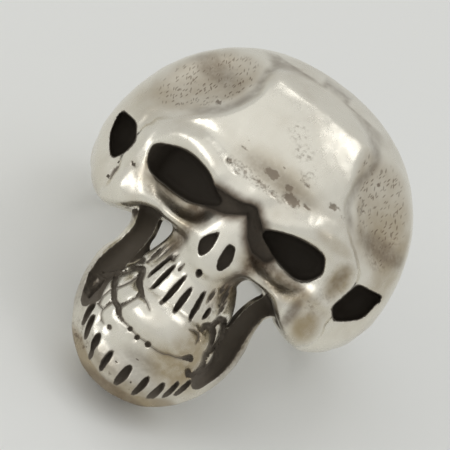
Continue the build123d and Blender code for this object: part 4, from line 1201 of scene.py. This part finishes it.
fine = noise(*FINE_NOISE)
middling = noise(*MIDDLING_NOISE)
broad = noise(*BROAD_NOISE)
dull = layer("dished")
hemmed = step("hemmed", layer("recess"))
into_groove = layer("groove_gap")
into_cut = minus(sums(tree, "ABSOLUTE", layer("cut_across")), layer("cut_half"))

mottle = times(step("specks", plus(fine, times(middling, SPECKS_MIDDLING))), layer("mottled"))
strokes = most(*(nick(*row) for row in NICKS))
nicks = times(strokes, step("worn deep", plus(dull, times(broad, WORN_BROAD))))
wobble = scaled(middling, *WOBBLE)
ragged = scaled(fine, *RAGGED)
black = most(
    step("hole", plus(layer("hole_gap"), ragged)),
    times(step("cut", scaled(ragged, CUT_RAGGED, into_cut)), CUT_BLACK),
    step("groove", plus(into_groove, wobble)),
    step("shadow", plus(hemmed, wobble)),
)
torn = scaled(plus(fine, middling), *TORN)
dented = times(step("dent", plus(layer("dent_gap"), torn)), DENT_BROWN)
marks = most(dented, times(mottle, MOTTLE_BROWN), nicks)

# Brown round the recesses is thinning patina; brown within a millimetre of the groove over the nose is
# painted shade on the nose's sloping top.
halo = most(step("round recess", plus(hemmed, wobble)), step("groove shade", plus(into_groove, wobble)))
near_cut = times(step("round cut", into_cut), CUT_BROWN)
# Smoke patches, partly painted shade beside the nose and under the eyes.
smoke_and_shade = times(layer("smoked_and_shaded"), step("smoke_and_shade", plus(middling, fine)))
# The dark line round the plate: tarnish in its crease and painted shade.
creased = times(layer("border"), step("crease", plus(broad, middling)))
# The brown mix holds patina and marks, and the painted shade of the smoke patches, the groove's rim and
# the plate's crease.
browned_and_shaded = most(halo, near_cut, smoke_and_shade, marks, creased)
# Olive-brown patches, partly painted shade beside the nose, under the eyes and down the right side.
stained_and_shaded = times(layer("brown_and_shade"), step("stain_and_shade", plus(middling, broad)))
cloudy = scaled(broad, CLOUD_BROAD, times(dull, CLOUD_DULL))
# The filed slope under the chin is coloured darker, towards the dull silver.
cloudy = plus(cloudy, times(layer("bevelled"), BEVEL_DARKENING))
metal = blend_colour(step("cloud", cloudy), SILVER, DULL_SILVER)
metal = blend_colour(stained_and_shaded, metal, OLIVE_TARNISH_AND_SHADE)
metal = blend_colour(browned_and_shaded, metal, BROWN_TARNISH_AND_SHADE)
colour = blend_colour(black, metal, SULPHIDE)

scratched = step("scratch", most(*(noise(*row) for row in SCRATCHES)))
gloss = plus(scaled(middling, *GLOSS), times(dull, GLOSS_DULL), times(black, GLOSS_BLACK))
gloss = sums(tree, "ADD", gloss, times(browned_and_shaded, GLOSS_BROWN), clamp=True)
relief = scaled(fine, RELIEF_FINE, times(scratched, RELIEF_SCRATCH))
relief = minus(relief, times(nicks, RELIEF_NICK), times(mottle, RELIEF_MOTTLE))
relief = times(relief, scaled(black, RELIEF_BLACK, 1.0))
bump = place(tree, "ShaderNodeBump", {
    "Height": relief,
    "Strength": BUMP_STRENGTH,
    "Distance": BUMP_DEPTH * MM,
}).outputs[0]
shader = place(tree, "ShaderNodeBsdfPrincipled", {
    "Base Color": colour,
    "Metallic": scaled(black, METAL_BLACK, 1.0),
    "Roughness": gloss,
    "Normal": bump,
})
place(tree, "ShaderNodeOutputMaterial", {"Surface": shader.outputs[0]})

# The casting's skin is not quite smooth: a modifier ripples it, faintly where it was polished
# and more in the recesses that no wheel reached.
RIPPLE_DEPTH = 0.12
RIPPLE_SIZE = 1.9
GRAIN_DEPTH = 0.03
GRAIN_SIZE = 0.4
WAVE_CREST = 0.8
finish = bpy.data.node_groups.new("cast_finish", "GeometryNodeTree")
finish.interface.new_socket("Geometry", in_out="INPUT", socket_type="NodeSocketGeometry")
finish.interface.new_socket("Geometry", in_out="OUTPUT", socket_type="NodeSocketGeometry")
for name, value in (("Ripple depth", RIPPLE_DEPTH), ("Ripple size", RIPPLE_SIZE),
                    ("Grain depth", GRAIN_DEPTH), ("Grain size", GRAIN_SIZE)):
    socket = finish.interface.new_socket(name, in_out="INPUT", socket_type="NodeSocketFloat")
    socket.default_value = value * MM
finish.interface.new_socket("Silver", in_out="INPUT", socket_type="NodeSocketMaterial")
given = place(finish, "NodeGroupInput").outputs
at = place(finish, "GeometryNodeInputPosition").outputs[0]
facing_out = place(finish, "GeometryNodeInputNormal").outputs[0]


def finish_step(kind, inputs, **settings):
    return place(finish, kind, inputs, **settings).outputs[0]


def waves(kind, detail):
    scale = sums(finish, "DIVIDE", 1.0, given[kind + " size"])
    height = finish_step("ShaderNodeTexNoise", {"Vector": at, "Scale": scale, "Detail": detail})
    return sums(finish, "MULTIPLY", sums(finish, "SUBTRACT", height, WAVE_CREST), given[kind + " depth"])


unpolished = finish_step("GeometryNodeInputNamedAttribute", {"Name": "recess"}, data_type="FLOAT")
rough_there = sums(finish, "MULTIPLY", waves("Grain", 2.0), unpolished)
height = sums(finish, "ADD", waves("Ripple", 1.0), rough_there)
inwards = sums(finish, "MINIMUM", height, 0.0)
offset = finish_step("ShaderNodeVectorMath", {0: facing_out, "Scale": inwards}, operation="SCALE")
moved = finish_step("GeometryNodeSetPosition", {"Geometry": given["Geometry"], "Offset": offset})
smooth = finish_step("GeometryNodeSetShadeSmooth", {0: moved})
real = finish_step("GeometryNodeRealizeInstances", {0: smooth})
dressed = finish_step("GeometryNodeSetMaterial", {"Geometry": real, "Material": given["Silver"]})
place(finish, "NodeGroupOutput", {0: dressed})

modifier = casting.modifiers.new("cast_finish", "NODES")
modifier.node_group = finish
silver_socket = finish.interface.items_tree["Silver"].identifier
modifier[silver_socket] = silver
ready = bpy.data.meshes.new_from_object(casting.evaluated_get(bpy.context.evaluated_depsgraph_get()))
casting.modifiers.remove(modifier)
casting.data = ready
ready.name = "skull_ring_casting"
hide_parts("skull_ring")
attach(casting, "root")

# Table: a broad, matt, pale grey sheet that the ring lies on.
TABLE_RADIUS = 2.0
TABLE_SIDES = 64
TABLE_GREY = (0.83, 0.83, 0.81, 1.0)
TABLE_ROUGHNESS = 0.9
TABLE_SHINE = 0.1
table_mesh = bpy.data.meshes.new("table")
turns = np.linspace(0, 2 * np.pi, TABLE_SIDES + 1)[:-1]
rim = [(TABLE_RADIUS * np.cos(t), TABLE_RADIUS * np.sin(t), 0.0) for t in turns]
table_mesh.from_pydata(rim, [], [list(range(len(rim)))])
table = bpy.data.objects.new("table", table_mesh)
bpy.context.scene.collection.objects.link(table)
paper = bpy.data.materials.new("pale_table")
paper.use_nodes = True
paper_shader = paper.node_tree.nodes["Principled BSDF"]
paper_shader.inputs["Base Color"].default_value = TABLE_GREY
paper_shader.inputs["Roughness"].default_value = TABLE_ROUGHNESS
paper_shader.inputs["Specular IOR Level"].default_value = TABLE_SHINE
table_mesh.materials.append(paper)

# Light: a pale tent all round, two small lamps over the crown, one to the left of the face and a
# broad one in front. Directions are in the skull's own upright frame.
TENT_COLOUR = (0.96, 0.97, 0.96, 1.0)
TENT_STRENGTH = 0.68
# name, direction, distance and size in metres, watts, colour
LAMPS = [
    ("crown_left", (-0.18, -0.15, 0.97), 0.5, 0.11, 0.055, (1.0, 1.0, 1.0)),
    ("crown_right", (0.27, -0.39, 0.88), 0.5, 0.15, 0.12, (1.0, 1.0, 1.0)),
    ("left", (-0.62, -0.75, 0.05), 0.5, 0.22, 0.22, (1.0, 1.0, 1.0)),
    ("front", (-0.35, -0.85, 0.40), 0.8, 1.1, 0.8, (1.0, 1.0, 0.98)),
]


def in_row(v):
    return Vector(to_row @ np.array(v, float))


def lamp(name, towards, distance, size, watts, colour):
    data = bpy.data.lights.new(name, "AREA")
    data.size = size
    data.energy = watts
    data.color = colour
    made = bpy.data.objects.new(name, data)
    direction = in_row(towards).normalized()
    made.location = Vector(skull_origin) + direction * distance
    made.rotation_euler = direction.to_track_quat("Z", "Y").to_euler()
    bpy.context.scene.collection.objects.link(made)


for row in LAMPS:
    lamp(*row)
world = bpy.data.worlds.new("tent")
world.use_nodes = True
sky = world.node_tree.nodes["Background"]
sky.inputs["Color"].default_value = TENT_COLOUR
sky.inputs["Strength"].default_value = TENT_STRENGTH
bpy.context.scene.world = world

# Camera: a long lens square to the face, rolled as the photograph is taken.
CAMERA_DISTANCE = 0.6
SENSOR = 0.036
FRAME_PIXELS = 450
PIXELS_PER_MM = 12.65
ROLL = np.radians(37.0)
EYES_MIDDLE_PIXEL = (240, 221)
FACE_PLANE = 14.0
CLIP = (0.05, 10.0)
camera_right = np.array([np.cos(ROLL), 0.0, np.sin(ROLL)])
camera_up = np.array([-np.sin(ROLL), 0.0, np.cos(ROLL)])
centre = np.array([0.0, -FACE_PLANE, 0.0])
centre -= camera_right * (EYES_MIDDLE_PIXEL[0] - FRAME_PIXELS / 2) / PIXELS_PER_MM
centre += camera_up * (EYES_MIDDLE_PIXEL[1] - FRAME_PIXELS / 2) / PIXELS_PER_MM
eye = skull_origin + to_row @ (centre * MM) + to_row @ np.array([0.0, -CAMERA_DISTANCE, 0.0])
camera_data = bpy.data.cameras.new("camera")
camera_data.sensor_width = SENSOR / MM
camera_data.lens = SENSOR / MM * CAMERA_DISTANCE / (FRAME_PIXELS / PIXELS_PER_MM * MM)
camera_data.clip_start, camera_data.clip_end = CLIP
camera = bpy.data.objects.new("camera", camera_data)
ways = [list(in_row(v)) for v in (camera_right, camera_up, (0, -1, 0))]
turned = Matrix(ways).transposed().to_4x4()
turned.translation = Vector(eye)
camera.matrix_world = turned
bpy.context.scene.collection.objects.link(camera)
bpy.context.scene.camera = camera
bpy.context.scene.view_settings.view_transform = "Standard"
